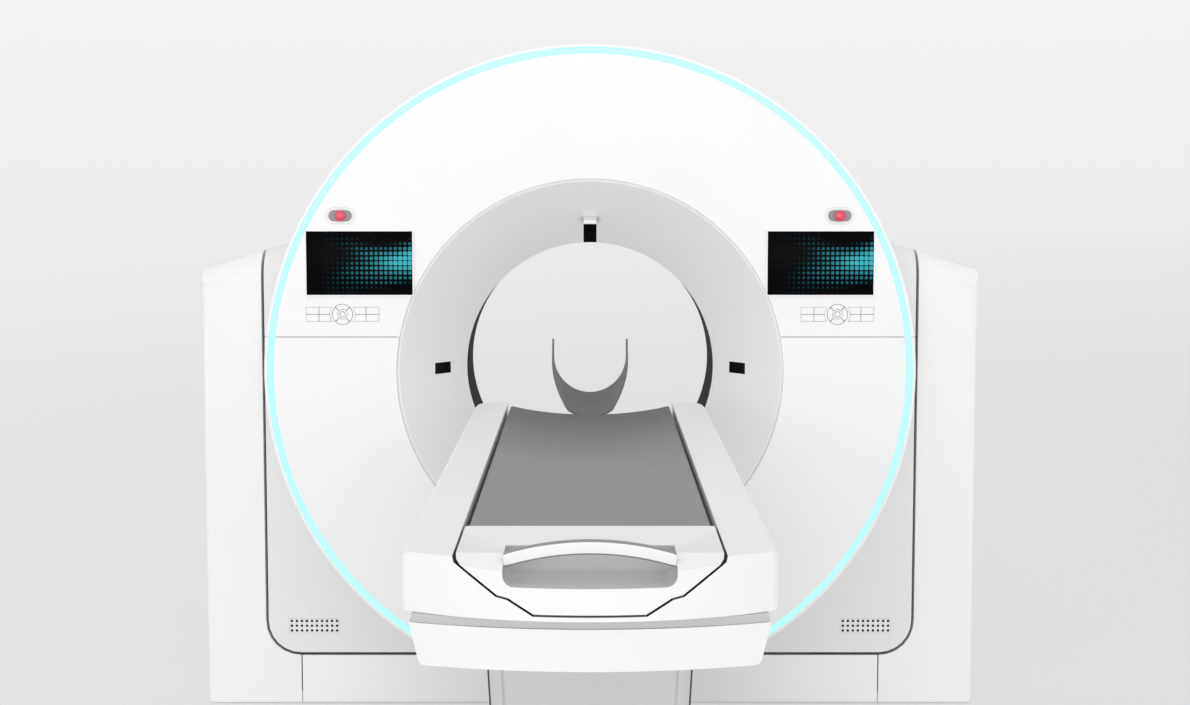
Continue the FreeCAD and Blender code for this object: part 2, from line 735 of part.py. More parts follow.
def make_tower_cover(side):
    reach = TILT_R + TOWER_GAP
    tower = tower_solid(0, reach).cut(tower_solid(TOWER_WALL, reach + TOWER_WALL))
    pin = many_sided_x(PIN_SIDES, TRUNNION_R + 12, HEAD_HALF, HEAD_HALF + TOWER_GAP + 2 * TOWER_WALL)
    return on_side(tower.cut(pin), side)


def make_base_panel(face_y):
    """A low panel between the towers, with a lip that follows the round of the head."""
    reach = TILT_R + TOWER_GAP
    back_y = math.copysign(1.0, face_y)
    wall = math.copysign(TOWER_WALL, face_y)
    top = ISO_Z / 4
    span = sorted((face_y, back_y))
    inner = sorted((face_y - wall, 0))
    block = box(-PANEL_HALF, PANEL_HALF, *span, COVER_FOOT, top)
    hollow = box(-PANEL_HALF - 1, PANEL_HALF + 1, *inner, 0, top)
    barrel = Part.makeCylinder(reach, 3 * TOWER_HALF, vec(-1.5 * TOWER_HALF, 0, ISO_Z), AXIS_X)
    backed = Part.makeCylinder(reach + TOWER_WALL, 3 * TOWER_HALF, vec(-1.5 * TOWER_HALF, 0, ISO_Z), AXIS_X)
    return block.cut(barrel).cut(hollow.cut(backed))


def make_base_frame():
    """The welded base with the two pillars that carry the tilt bearings."""
    y0, y1 = FRONT_Y + BASE_MARGIN, REAR_Y - BASE_MARGIN
    reach = TOWER_HALF - TOWER_WALL - FIT
    foot_z = FOOT_H + BASE_PLATE
    plate = box(-reach, reach, y0, y1, FOOT_H, foot_z)
    beam = box(-PILLAR_IN, PILLAR_IN, y0 + BEAM_INSET, y1 - BEAM_INSET, foot_z, BEAM_TOP)
    pockets = []
    for number in range(4):
        x = (number - 1.5) * (BAY + BAY_RIB)
        pockets.append(box(x - BAY / 2, x + BAY / 2, y0 + BAY_RIB, y1 - BAY_RIB, 0, BEAM_TOP + 1))
    seat = Part.makeCylinder(TILT_R + TOWER_GAP + TOWER_WALL + FIT, 3 * TOWER_HALF,
                             vec(-1.5 * TOWER_HALF, 0, ISO_Z), AXIS_X)
    wall = TOWER_WALL + FIT
    ribs = [box(x - RIB_HALF, x + RIB_HALF, FRONT_Y + wall, REAR_Y - wall, foot_z, ISO_Z / 4)
            for x in (-RIB_X, 0, RIB_X)]
    frame = plate.fuse([beam] + ribs).cut(pockets + [seat])
    for _, side in SIDES:
        outline = [(y0 + BEAM_INSET, foot_z), (-PILLAR_R, ISO_Z), (-PILLAR_R / 2, ISO_Z + PILLAR_R),
                   (PILLAR_R / 2, ISO_Z + PILLAR_R), (PILLAR_R, ISO_Z), (y1 - BEAM_INSET, foot_z)]
        pillar = prism([vec(PILLAR_IN, y, z) for y, z in outline], vec(PILLAR_OUT - PILLAR_IN, 0, 0))
        bore = Part.makeCylinder(TRUNNION_R + FIT, 2 * PILLAR_OUT, vec(0, 0, ISO_Z), AXIS_X)
        web = box(PILLAR_IN + PILLAR_WEB, PILLAR_OUT + 1, -WEB_HALF, WEB_HALF, foot_z + WEB_HALF,
                  ISO_Z - PILLAR_R - WEB_HALF / 2)
        frame = frame.fuse(on_side(pillar.cut([bore, web]), side))
    holes = []
    middle = (FRONT_Y + REAR_Y) / 2
    for x in (-ANCHOR_X / 2, ANCHOR_X / 2):
        for y in (-ANCHOR_Y / 2, ANCHOR_Y / 2):
            holes.append(Part.makeCylinder(ANCHOR_D / 2, FOOT_H + 60, vec(x, middle + y, 0)))
    return frame.cut(holes).removeSplitter()


def make_levelling_feet():
    places = [(x, y) for x in (-PILLAR_IN, PILLAR_IN) for y in (FRONT_Y + 65, REAR_Y - 65)]
    return group([many_sided(6, FOOT_R, 0, FOOT_H, x, y) for x, y in places + [(0, 0)]])


# ---------------------------------------------------------------- tilting frame and rotor
def make_tilt_frame():
    """The plate with the fixed ring of the main bearing, its arms and its trunnions."""
    frame = many_sided_y(8, FRAME_R1, FRAME_Y0, FRAME_Y1)
    slots = []
    for number in range(8):
        spoke = box(-SLOT_HALF, SLOT_HALF, FRAME_Y0 - 1, FRAME_Y1 + 1, ISO_Z + RACE_R1 + 68,
                    ISO_Z + FRAME_R1 - 70)
        slots.append(turn_about_bore(spoke, 45 * number))
    race = many_sided_y(PLATE_SIDES, RACE_R1, ROTOR_Y1 + RACE_GAP, FRAME_Y0 + 1)
    arm_out = HEAD_HALF - COVER_WALL - FIT
    arm = box(ROTOR_R1 - 20, arm_out, ARM_FRONT, FRAME_Y1, ISO_Z - ARM_HALF, ISO_Z + ARM_HALF)
    arm = arm.cut(many_sided_y(PLATE_SIDES, ROTOR_R1 + 12, 2 * ARM_FRONT, FRAME_Y0))
    trunnion = Part.makeCylinder(TRUNNION_R, PILLAR_OUT - arm_out + 20, vec(arm_out - 20, 0, ISO_Z), AXIS_X)
    side = arm.fuse(trunnion)
    frame = frame.cut(slots).fuse([race, side, mirrored(side)])
    return frame.cut(disc_y(RACE_R0, ROTOR_Y0, FRAME_Y1 + 1)).removeSplitter()


def make_rotor_drum():
    plate = many_sided_y(PLATE_SIDES, ROTOR_R1, ROTOR_Y0, ROTOR_Y1)
    hub = disc_y(RACE_R0 - FIT, ROTOR_Y1 - 1, HUB_END)
    bore = many_sided_y(PLATE_SIDES, ROTOR_R0, ROTOR_Y0 - 1, HUB_END + 1)
    return plate.fuse(hub).cut(bore).removeSplitter()


def turn_about_bore(shape, degrees):
    turned_shape = shape.copy()
    turned_shape.rotate(ISO, AXIS_Y, degrees)
    return turned_shape


def make_xray_tube():
    """The tube housing with its collimator, on a foot that seats on the rotor."""
    axis_z = ISO_Z + TUBE_R
    body = many_sided_y(8, TUBE_BODY_R * math.cos(math.pi / 8), TUBE_Y0, TUBE_Y1)
    body.translate(vec(0, 0, TUBE_R))
    front = box(-TUBE_CAP_HALF, TUBE_CAP_HALF, TUBE_Y0 - TUBE_CAP, TUBE_Y0, axis_z - TUBE_CAP_HALF,
                axis_z + TUBE_CAP_HALF)
    foot = box(-TUBE_FOOT_X, TUBE_FOOT_X, TUBE_Y1 - 1, ROTOR_Y0 - FIT, axis_z - TUBE_FOOT_Z,
               axis_z + TUBE_FOOT_Z)
    low = axis_z - TUBE_BODY_R - COLLIMATOR_LONG
    collimator = prism_y([(-COLLIMATOR_TOP, axis_z), (COLLIMATOR_TOP, axis_z), (COLLIMATOR_LOW, low),
                          (-COLLIMATOR_LOW, low)], -TUBE_Y1, ROTOR_Y0 - FIT)
    return body.fuse([front, foot, collimator]).removeSplitter()


def make_detector_array():
    """A curved crescent of detector modules, centred on the focus of the tube."""
    focus = vec(0, DETECTOR_Y0, ISO_Z + TUBE_R)
    deep = ROTOR_Y0 - FIT - DETECTOR_Y0
    half = math.radians(DETECTOR_HALF_ANGLE)

    def at(reach, angle):
        return vec(reach * math.sin(angle), focus.y, focus.z - reach * math.cos(angle))

    near = DETECTOR_REACH - DETECTOR_DEPTH
    edges = [arc(at(near, -half), at(near, 0), at(near, half)),
             line(at(near, half), at(DETECTOR_REACH, half)),
             arc(at(DETECTOR_REACH, half), at(DETECTOR_REACH, 0), at(DETECTOR_REACH, -half)),
             line(at(DETECTOR_REACH, -half), at(near, -half))]
    return Part.Face(Part.Wire(edges)).extrude(vec(0, deep, 0))


def make_generators():
    """Two power boxes on the rotor plate, one on either side of the bore."""
    shape = box(-POWER_W / 2, POWER_W / 2, POWER_Y0, ROTOR_Y0 - FIT, ISO_Z + POWER_R0, ISO_Z + POWER_R1)
    return group([turn_about_bore(shape, POWER_ANGLE), turn_about_bore(shape, -POWER_ANGLE)])


# ---------------------------------------------------------------- table
def bowed_outline(half, side_y, mid_y, rear_y, z, inset=0.0):
    """A table-top outline: bowed at the foot end, straight at the other."""
    left, right = vec(-half, side_y, z), vec(half, side_y, z)
    return Part.Wire([arc(left, vec(0, mid_y, z), right)] + lines(
        [right, vec(half, rear_y - inset, z), vec(-half, rear_y - inset, z), left]))


def cap_outline():
    """The end cap seen from the foot end, from one top corner to the other."""
    half = [(x, TABLE_TOP - drop) for x, drop in CAP_CORNERS]
    return half + [(-x, z) for x, z in reversed(half)]


def make_table_shell():
    """Both side rails and the bowed fascia, in one moulding."""
    outline = bowed_outline(TABLE_HALF, FASCIA_SIDE_Y, FASCIA_MID_Y, TABLE_REAR, FASCIA_BOTTOM)
    shell = Part.Face(outline).extrude(vec(0, 0, TABLE_TOP - FASCIA_BOTTOM))
    shell = shell.makeFillet(FRONT_CORNER, edges_where(shell, lambda e: e.BoundBox.ZLength > 50 and edge_at(
        e, "y", FASCIA_SIDE_Y)))
    shell = shell.makeFillet(REAR_CORNER, edges_where(shell, lambda e: e.BoundBox.ZLength > 50 and edge_at(
        e, "y", TABLE_REAR)))
    shell = shell.makeChamfer(EDGE_EASE, edges_where(shell, lambda e: edge_at(e, "z", TABLE_TOP)))
    high = TABLE_TOP + 5
    channel = box(-CHANNEL_HALF, CHANNEL_HALF, FASCIA_BACK, TABLE_REAR + 5, 0, high)
    corners = [vec(x, 2 * FASCIA_MID_Y, z) for x, z in cap_outline()]
    outline = Part.Face(Part.makePolygon(corners + corners[:1]))
    opening = outline.makeOffset2D(CAP_GAP, 2).extrude(vec(0, -2 * FASCIA_MID_Y + FASCIA_BACK + 5, 0))
    return shell.cut([channel, opening])


def make_table_deck():
    """The plate under the rails, set back over the skirt, with the guides of the cradle."""
    side_y, mid_y = SKIRT_SIDE_Y + DECK_INSET, SKIRT_MID_Y + DECK_INSET
    outline = bowed_outline(SKIRT_TOP_HALF - DECK_INSET, side_y, mid_y, TABLE_REAR - 14, SKIRT_TOP + FIT)
    deck = Part.Face(outline).extrude(vec(0, 0, DECK_H - 2 * FIT))
    z0, z1 = FASCIA_BOTTOM - 2 * FIT, FASCIA_BOTTOM + RAIL_H
    y0, y1 = FASCIA_BACK + 30, TABLE_REAR - 60
    rail = box(RAIL_X - RAIL_W / 2, RAIL_X + RAIL_W / 2, y0, y1, z0, z1)
    notch = box(RAIL_X + RAIL_W / 2 - 6, RAIL_X + RAIL_W, y0 - 1, y1 + 1, z0 + 8, z1 - 8)
    glide = box(60, 120, TABLE_REAR - 55, TABLE_REAR - 20, z0, TABLE_TOP)
    above = dish_solid(-PAD_THICK - BOARD_THICK - FIT, TABLE_TOP + 5, TABLE_REAR - 60, TABLE_REAR)
    side = [rail.cut(notch), glide.cut(above)]
    return deck.fuse(side + [mirrored(shape) for shape in side]).removeSplitter()


def skirt_solid(inset, low, high):
    """A trough with a bowed front that leans back; it narrows downwards and its lower corners turn."""
    top, bottom = (SKIRT_TOP_HALF - inset, high), (SKIRT_BOTTOM_HALF - inset, low)
    turn = eased(top, bottom, (0, low), SKIRT_CORNER)
    outline = [top] + turn + [(-x, z) for x, z in reversed(turn)] + [(-top[0], high)]
    bow = SKIRT_SIDE_Y - SKIRT_MID_Y
    radius = (SKIRT_TOP_HALF ** 2 + bow ** 2) / (2 * bow)
    lean = vec(0, -SKIRT_LEAN, SKIRT_H)
    upright = SKIRT_H / lean.Length
    reach = lean * (radius / SKIRT_H)
    start = vec(0, SKIRT_MID_Y + SKIRT_LEAN + radius, SKIRT_BOTTOM) - reach
    front = Part.makeCylinder((radius - inset) * upright, 2 * reach.Length, start, lean)
    trough = prism_y(outline, 2 * SKIRT_MID_Y, SKIRT_REAR - inset)
    behind = box(-SKIRT_TOP_HALF, SKIRT_TOP_HALF, SKIRT_MID_Y + radius, SKIRT_REAR, low, high)
    return trough.common(front.fuse(behind))


def make_table_skirt():
    skirt = skirt_solid(0, SKIRT_BOTTOM, SKIRT_TOP)
    hollow = skirt_solid(SKIRT_WALL + 6, SKIRT_BOTTOM + SKIRT_WALL, SKIRT_TOP + 1)
    wide = COLUMN_W / 2
    holes = [box(-wide, wide, y - wide, y + wide, SKIRT_BOTTOM - 1, SKIRT_BOTTOM + SKIRT_WALL + 1)
             for y in COLUMN_YS]
    return skirt.cut([hollow] + holes)


def square_tubes(outer, wall, z0, z1):
    """One square tube for each lifting column."""
    tubes = []
    for y in COLUMN_YS:
        half, bore = outer / 2, outer / 2 - wall
        tube = box(-half, half, y - half, y + half, z0, z1)
        tubes.append(tube.cut(box(-bore, bore, y - bore, y + bore, z0 - 1, z1 + 1)))
    return tubes


def stage_width(stage):
    """Outer width of a column stage: 0 is fixed, 2 lifts the table."""
    return COLUMN_W - 2 * stage * (COLUMN_WALL + COLUMN_GAP)


def make_table_base():
    """The floor plate with the two fixed column stages welded on."""
    y0, y1 = STAND_FRONT - PLATE_MARGIN, STAND_REAR + PLATE_MARGIN
    outline = Part.Face(rounded_rect(PLATE_HALF, y0, y1, 0, STAND_CORNER))
    plate = outline.extrude(vec(0, 0, PLATE_H))
    places = [(x, y) for x in (-TABLE_ANCHOR_X / 2, TABLE_ANCHOR_X / 2)
              for y in (-TABLE_ANCHOR_Y / 2, TABLE_ANCHOR_Y / 2)]
    holes = [Part.makeCylinder(ANCHOR_D / 2, 3 * PLATE_H, vec(x, STAND_MID_Y + y, -PLATE_H)) for x, y in places]
    tubes = square_tubes(stage_width(0), COLUMN_WALL, PLATE_H, COLUMN_TOP)
    return plate.cut(holes).fuse(tubes).removeSplitter()


def make_mid_column():
    """The middle stages, tied by a bridge plate that carries the middle cover."""
    tubes = square_tubes(stage_width(1), COLUMN_WALL, MID_COLUMN_LOW, MID_TOP)
    grow = STAND_TAPER + 2 * STAND_WALL + RUN + FIT
    face = Part.Face(rounded_rect(STAND_HALF - grow, STAND_FRONT + grow, STAND_REAR - grow,
                                  MID_TOP - BRIDGE, 1.25 * STAND_CORNER))
    bridge = face.extrude(vec(0, 0, BRIDGE))
    bore = stage_width(1) / 2 - COLUMN_WALL
    holes = [box(-bore, bore, y - bore, y + bore, 0, TABLE_TOP) for y in COLUMN_YS]
    light = box(-120, 120, COLUMN_YS[0] + 200, COLUMN_YS[1] - 200, 0, TABLE_TOP)
    return bridge.fuse(tubes).cut(holes + [light]).removeSplitter()


def make_lift_column():
    """The moving stages with the frame that carries the table top."""
    tubes = square_tubes(stage_width(2), COLUMN_WALL, LIFT_COLUMN_LOW, SKIRT_BOTTOM + 14)
    y0, y1 = STAND_FRONT + 60, STAND_REAR - 60
    z0 = SKIRT_BOTTOM + SKIRT_WALL + FIT
    plate = box(-BEAM_X - BEAM_HALF, BEAM_X + BEAM_HALF, y0, y1, z0, z0 + 12)
    beams = [box(x - BEAM_HALF, x + BEAM_HALF, FASCIA_BACK + 60, SKIRT_REAR - 60, z0 + 8, SKIRT_TOP)
             for x in (-BEAM_X, BEAM_X)]
    return plate.fuse(tubes + beams).removeSplitter()


def stand_block(low, high, half_low, half_high, inset):
    """A tall block with flat sides, which may narrow towards its foot."""
    seen_from_front = []
    seen_from_side = []
    for z, half in ((low, half_low), (high, half_high)):
        slip = STAND_HALF - half + inset
        seen_from_front.append((half - inset, z))
        seen_from_side.append((STAND_FRONT + slip, STAND_REAR - slip, z))
    (x0, z0), (x1, z1) = seen_from_front
    across = prism_y([(-x0, z0), (x0, z0), (x1, z1), (-x1, z1)], 2 * STAND_FRONT, 0)
    (a0, b0, z0), (a1, b1, z1) = seen_from_side
    wide = 2 * STAND_HALF
    side = [vec(-wide, a0, z0), vec(-wide, b0, z0), vec(-wide, b1, z1), vec(-wide, a1, z1)]
    return across.common(prism(side, vec(2 * wide, 0, 0)))


def stand_tube(low, high, half_low, half_high, wall):
    """A tall cover with round corners, open at both ends."""
    outer = stand_block(low, high, half_low, half_high, 0)
    inner = stand_block(low, high, half_low, half_high, wall)
    upright = [edges_where(block, lambda e: e.BoundBox.ZLength > 50) for block in (outer, inner)]
    return outer.makeFillet(STAND_CORNER, upright[0]).cut(inner.makeChamfer(STAND_CORNER * 0.7, upright[1]))


def make_table_upper_cover():
    """The tapered top cover, with a fine groove beside each front corner."""
    low, high = UPPER_LOW, SKIRT_BOTTOM - FIT
    cover = stand_tube(low, high, STAND_HALF - STAND_TAPER, STAND_HALF, STAND_WALL)
    flange = rounded_rect(STAND_HALF - 3, STAND_FRONT + 3, STAND_REAR - 3, high - 5, STAND_CORNER)
    opening = box(-COLUMN_W / 2, COLUMN_W / 2, COLUMN_YS[0] - COLUMN_W / 2,
                  COLUMN_YS[1] + COLUMN_W / 2, 0, TABLE_TOP)
    flange = Part.Face(flange).extrude(vec(0, 0, 5)).cut(opening)
    return cover.fuse(flange).cut(stand_grooves(low, high)).removeSplitter()


def stand_grooves(low, high):
    """Slots that follow the taper of the front face, near its two edges."""
    x0 = STAND_HALF - STAND_TAPER - STAND_CORNER - GROOVE_INSET
    x1 = STAND_HALF - STAND_CORNER - GROOVE_INSET
    stripe = prism_y([(x0 - GROOVE_W, low), (x0, low), (x1, high), (x1 - GROOVE_W, high)],
                     STAND_FRONT - 1, STAND_FRONT + 2 * STAND_CORNER)
    groove = stripe.cut(stand_block(low, high, STAND_HALF - STAND_TAPER, STAND_HALF, GROOVE_DEEP))
    return [groove, mirrored(groove)]


def make_table_mid_cover():
    half = STAND_HALF - STAND_TAPER - STAND_WALL - RUN
    return stand_tube(MID_LOW, MID_TOP, half, half, STAND_WALL)


def make_table_lower_cover():
    half = STAND_HALF - STAND_TAPER - 2 * (STAND_WALL + RUN)
    return stand_tube(PLATE_H + FIT, LOWER_TOP, half, half, STAND_WALL)


def dish_z(x, offset):
    """Height of the dished surface of the mattress, at one place across it."""
    return TABLE_TOP - DISH + DISH_R - math.sqrt(DISH_R ** 2 - x ** 2) + offset


def dish_solid(low_offset, high, y0, y1, half=PAD_HALF):
    """A block with a dished bottom: what lies above an offset of the surface."""
    def at(x, z):
        return vec(x, y0, z)

    rim = dish_z(half, low_offset)
    curve = arc(at(-half, rim), at(0, dish_z(0, low_offset)), at(half, rim))
    edges = [curve] + lines([at(half, rim), at(half, high), at(-half, high), at(-half, rim)])
    return Part.Face(Part.Wire(edges)).extrude(vec(0, y1 - y0, 0))


def dish_plate(low, high, y0, y1, half):
    """A curved plate between two offsets from the dished surface."""
    def at(x, offset):
        return vec(x, y0, dish_z(abs(x), offset))

    edges = [arc(at(-half, low), at(0, low), at(half, low)),
             line(at(half, low), at(half, high)),
             arc(at(half, high), at(0, high), at(-half, high)),
             line(at(-half, high), at(-half, low))]
    return Part.Face(Part.Wire(edges)).extrude(vec(0, y1 - y0, 0))


def make_cradle_board():
    """The dished board, with four blocks underneath that run on the guide rails."""
    board = dish_plate(-PAD_THICK - BOARD_THICK, -PAD_THICK - FIT, CAP_BACK + FIT, CRADLE_REAR, PAD_HALF)
    above = dish_solid(-PAD_THICK - BOARD_THICK / 2, TABLE_TOP + 5, CAP_BACK, CRADLE_REAR)
    blocks = []
    for y in CARRIAGE_YS:
        block = box(RAIL_X - 22, RAIL_X + 22, y - 60, y + 60, FASCIA_BOTTOM + RAIL_H + FIT, TABLE_TOP)
        block = block.cut(above)
        blocks += [block, mirrored(block)]
    return board.fuse(blocks).removeSplitter()


def make_mattress():
    """A thin dished pad with soft edges."""
    pad = dish_plate(-PAD_THICK, 0, PAD_FRONT, CRADLE_REAR - 1, PAD_HALF - 1)
    half = PAD_HALF - 1
    rims = edges_where(pad, lambda e: abs(abs(e.CenterOfMass.x) - half) < 0.1 and e.BoundBox.YLength > 500
                       and e.CenterOfMass.z > dish_z(half, -PAD_THICK / 2))
    return pad.makeFillet(PAD_ROUND, rims)


def make_end_cap():
    """The cap at the foot end, with a pocket for the fingers behind the handle."""
    cap = prism_y(cap_outline(), 2 * FASCIA_MID_Y, CAP_BACK)
    front = bowed_outline(TABLE_HALF, FASCIA_SIDE_Y, FASCIA_MID_Y, 0, 0)
    cap = cap.common(Part.Face(front).extrude(vec(0, 0, 2 * TABLE_TOP)))
    high = TABLE_TOP + 1
    drop = high - CAP_SLOPE * 200
    edge_y = CAP_EDGE_Y + 1 / CAP_SLOPE
    side = [vec(-TABLE_HALF, edge_y, high), vec(-TABLE_HALF, edge_y - 200, drop),
            vec(-TABLE_HALF, edge_y - 200, high + 100), vec(-TABLE_HALF, edge_y, high + 100)]
    slope = prism(side, vec(2 * TABLE_HALF, 0, 0))
    pocket = box(-POCKET_HALF, POCKET_HALF, 2 * FASCIA_MID_Y, POCKET_BACK, POCKET_Z, high)
    pocket = pocket.makeFillet(POCKET_CORNER, edges_where(
        pocket, lambda e: e.BoundBox.YLength > 100 and edge_at(e, "z", POCKET_Z)))
    return cap.cut([slope, pocket])


def make_grab_handle():
    """An arched strap between the two side walls of the pocket."""
    half = POCKET_HALF - FIT

    def at(x, z):
        return vec(x, HANDLE_Y0, z)

    low, high = HANDLE_END_Z - HANDLE_TALL / 2, HANDLE_END_Z + HANDLE_TALL / 2
    edges = [arc(at(-half, low), at(0, low + HANDLE_RISE), at(half, low)),
             line(at(half, low), at(half, high)),
             arc(at(half, high), at(0, high + HANDLE_RISE), at(-half, high)),
             line(at(-half, high), at(-half, low))]
    return Part.Face(Part.Wire(edges)).extrude(vec(0, HANDLE_Y1 - HANDLE_Y0, 0))


def bent_sheet(y, low, tip):
    """The flat outline of a sheet bent to a U, seen from the foot end."""
    def half_outline(half, bottom):
        turn = bottom + half
        corners = ((-half, tip), (-half, turn), (0, bottom), (half, turn), (half, tip))
        return [vec(x, y, z) for x, z in corners]

    outer = half_outline(HOLDER_HALF, low)
    inner = half_outline(HOLDER_HALF - HOLDER_WALL, low + HOLDER_WALL)
    return Part.Face(Part.Wire([
        line(outer[0], outer[1]), arc(*outer[1:4]), line(outer[3], outer[4]), line(outer[4], inner[4]),
        line(inner[4], inner[3]), arc(*inner[3:0:-1]), line(inner[1], inner[0]), line(inner[0], outer[0])]))


def make_head_holder():
    """The grey scoop for the head: a U that is cut low at the neck and sweeps up to tall sides."""
    near_y = CRADLE_REAR + FIT
    reach = HOLDER_FAR - near_y
    sheet = bent_sheet(-reach, 0, HOLDER_TIP_Z - NECK_Z).extrude(vec(0, 3 * reach, 0))
    sheet.rotate(ORIGIN, AXIS_X, math.degrees(math.atan2(HOLDER_LOW_Z - NECK_Z, reach)))
    sheet.translate(vec(0, near_y, NECK_Z))
    sheet = sheet.common(box(-HOLDER_HALF, HOLDER_HALF, near_y, HOLDER_FAR, 0, HOLDER_TIP_Z))
    wide, high = 2 * HOLDER_HALF, 2 * HOLDER_TIP_Z
    low = NECK_Z + NECK_RISE
    start, end = vec(-wide, near_y - 1, low), vec(-wide, HOLDER_FAR + 1, HOLDER_TIP_Z)
    middle = vec(-wide, near_y + reach / 2, low + (HOLDER_TIP_Z - low) * HOLDER_SWEEP)
    above = Part.Face(Part.Wire([arc(start, middle, end)] + lines(
        [end, vec(-wide, HOLDER_FAR + 1, high), vec(-wide, near_y - 1, high), start])))
    scoop = sheet.cut(above.extrude(vec(2 * wide, 0, 0)))
    board_low = dish_z(0, -PAD_THICK - BOARD_THICK) - FIT
    tongue_low = board_low - TONGUE_THICK
    tongue = box(-NECK_HALF, NECK_HALF, CRADLE_REAR - TONGUE_LONG, near_y + 16, tongue_low, board_low)
    riser = box(-NECK_HALF, NECK_HALF, near_y, near_y + 16, tongue_low, NECK_Z + HOLDER_WALL - 1)
    return scoop.fuse([tongue, riser]).removeSplitter()


# ---------------------------------------------------------------- the whole machine
def build():
    front_upper, front_lower = make_front_covers()
    shell_upper, shell_lower = make_head_shells()
    nodes = {
        "base_frame": make_base_frame(),
        "levelling_feet": make_levelling_feet(),
        "tower_covers": group([make_tower_cover(side) for _, side in SIDES]),
        "base_panels": group([make_base_panel(FRONT_Y), make_base_panel(REAR_Y)]),
        "table_base": make_table_base(),
        "table_lower_cover": make_table_lower_cover(),
        "mid_column": make_mid_column(),
        "table_mid_cover": make_table_mid_cover(),
        "lift_column": make_lift_column(),
        "table_upper_cover": make_table_upper_cover(),
        "table_skirt": make_table_skirt(),
        "table_deck": make_table_deck(),
        "table_shell": make_table_shell(),
        "cradle_board": make_cradle_board(),
        "end_cap": make_end_cap(),
        "grab_handle": make_grab_handle(),
        "mattress": make_mattress(),
        "head_holder": make_head_holder(),
        "tilt_frame": make_tilt_frame(),
        "head_shell_upper": shell_upper,
        "head_shell_lower": shell_lower,
        "front_cover_upper": front_upper,
        "front_cover_lower": front_lower,
        "rear_cover": make_rear_cover(),
        "light_ring": make_light_ring(),
        "front_flare": make_front_flare(),
        "scan_window": make_scan_window(),
        "laser_windows": make_laser_windows(),
        "speaker_grilles": make_speaker_grilles(),
        "rotor_drum": make_rotor_drum(),
        "xray_tube": make_xray_tube(),
        "detector_array": make_detector_array(),
        "generators": make_generators(),
    }
    for name, side in SIDES:
        nodes[f"{name}_stop_button"] = make_stop_button(side)
        for key, shape in keypad_solids(side, 0, -KEY_DEEP, KEY_PROUD).items():
            nodes[f"{name}_{key}"] = shape
    nodes["screen_bezels"] = group([make_screen_bezel(side) for _, side in SIDES])
    nodes["screen_panels"] = group([make_screen_panel(side) for _, side in SIDES])
    nodes["control_plates"] = group(make_control_plates(-1) + make_control_plates(1))
    return nodes


def save(nodes):
    os.makedirs("parts", exist_ok=True)
    for name, shape in nodes.items():
        shape.exportStep(f"parts/{name}.step")


MODEL = build()
save(MODEL)
print(len(MODEL), "nodes")
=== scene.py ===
"""The looks of the CT scanner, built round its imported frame.

Metres. X is across the gantry, +Y runs from the foot of the table into the bore, Z is up.
"""
import json
import math

import bmesh
import bpy
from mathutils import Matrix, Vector


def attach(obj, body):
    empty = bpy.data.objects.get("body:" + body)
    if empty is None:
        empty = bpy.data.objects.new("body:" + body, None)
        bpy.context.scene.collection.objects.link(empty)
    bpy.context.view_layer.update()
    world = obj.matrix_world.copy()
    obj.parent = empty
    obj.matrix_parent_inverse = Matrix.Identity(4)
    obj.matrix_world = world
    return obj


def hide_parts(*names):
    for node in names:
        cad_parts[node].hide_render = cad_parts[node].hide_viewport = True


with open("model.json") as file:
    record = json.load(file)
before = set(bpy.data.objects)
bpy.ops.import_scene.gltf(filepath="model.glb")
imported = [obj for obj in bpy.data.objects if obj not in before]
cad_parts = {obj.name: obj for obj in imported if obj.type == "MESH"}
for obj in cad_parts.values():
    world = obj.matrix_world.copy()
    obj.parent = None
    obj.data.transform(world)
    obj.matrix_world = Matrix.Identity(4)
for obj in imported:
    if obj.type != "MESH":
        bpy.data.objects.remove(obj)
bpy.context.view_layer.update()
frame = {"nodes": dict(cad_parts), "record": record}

NODES = frame["nodes"]
BODY_OF = {node: body for body, nodes in frame["record"]["behaviour"]["bodies"].items()
           for node in nodes}
SLOT_OF = {part["node"]: part["material_slot"] for part in frame["record"]["subparts"]}

# ---------------------------------------------------------------- sizes shared with the frame
ISO_Z = 1.011
FRONT = -0.366              # face of the round front covers
SIDES = (("left", -1), ("right", 1))
SCREEN_X, SCREEN_Z = 0.6455, 1.3197
SCREEN_W, SCREEN_H = 0.305, 0.186
SCREEN_PROUD = 0.008
GLASS_EDGE, GLASS_THICK, GLASS_SUNK = 0.0086, 0.005, 0.001
STOP_X, STOP_Z = 0.6985, 1.4517
STOP_W, STOP_H = 0.066, 0.031
RIM_SPREAD = 0.0075         # how far the raised rim reaches past the sunken plate
MUSHROOM_R = 0.0142
PAD_X, PAD_Z = 0.6949, 1.1758
CAPS_IN, CAPS_OUT = 0.0141, 0.0280          # the four caps of the round key
COLLAR_IN, COLLAR_OUT = 0.0084, 0.0131      # the plain ring inside them
CARRIER_IN, CARRIER_OUT = 0.0081, 0.0283    # the dark carrier under both
CENTRE_OUT = 0.0070
KEY_FACE, KEY_BACK, KEY_FOOT = 0.0003, -0.0008, -0.0048
COLLAR_FACE, CARRIER_FACE = 0.0004, -0.0009
GRILLE_X, GRILLE_Z = 0.8175, 0.234
GRILLE_COLS, GRILLE_ROWS = 10, 3
GRILLE_PITCH_X, GRILLE_PITCH_Z = 0.0149, 0.0144
HEAD_FRONT = -0.144         # front wall of the head's housing and of the towers
HOLE_R, HOLE_DEEP = 0.004, 0.0030
GRILLE_DEEP = 0.006
CLOTH_BACK, CLOTH_THICK = 0.0036, 0.0006
DISC_R = 0.918
BORE_R = 0.360
FLARE_R = 0.542
FLARE_DEEP = 0.2235         # along the bore, from the mouth to the scan window
LASER_W = 0.037
HOOD_FRONT, HOOD_DEEP = -0.2452, 0.0165
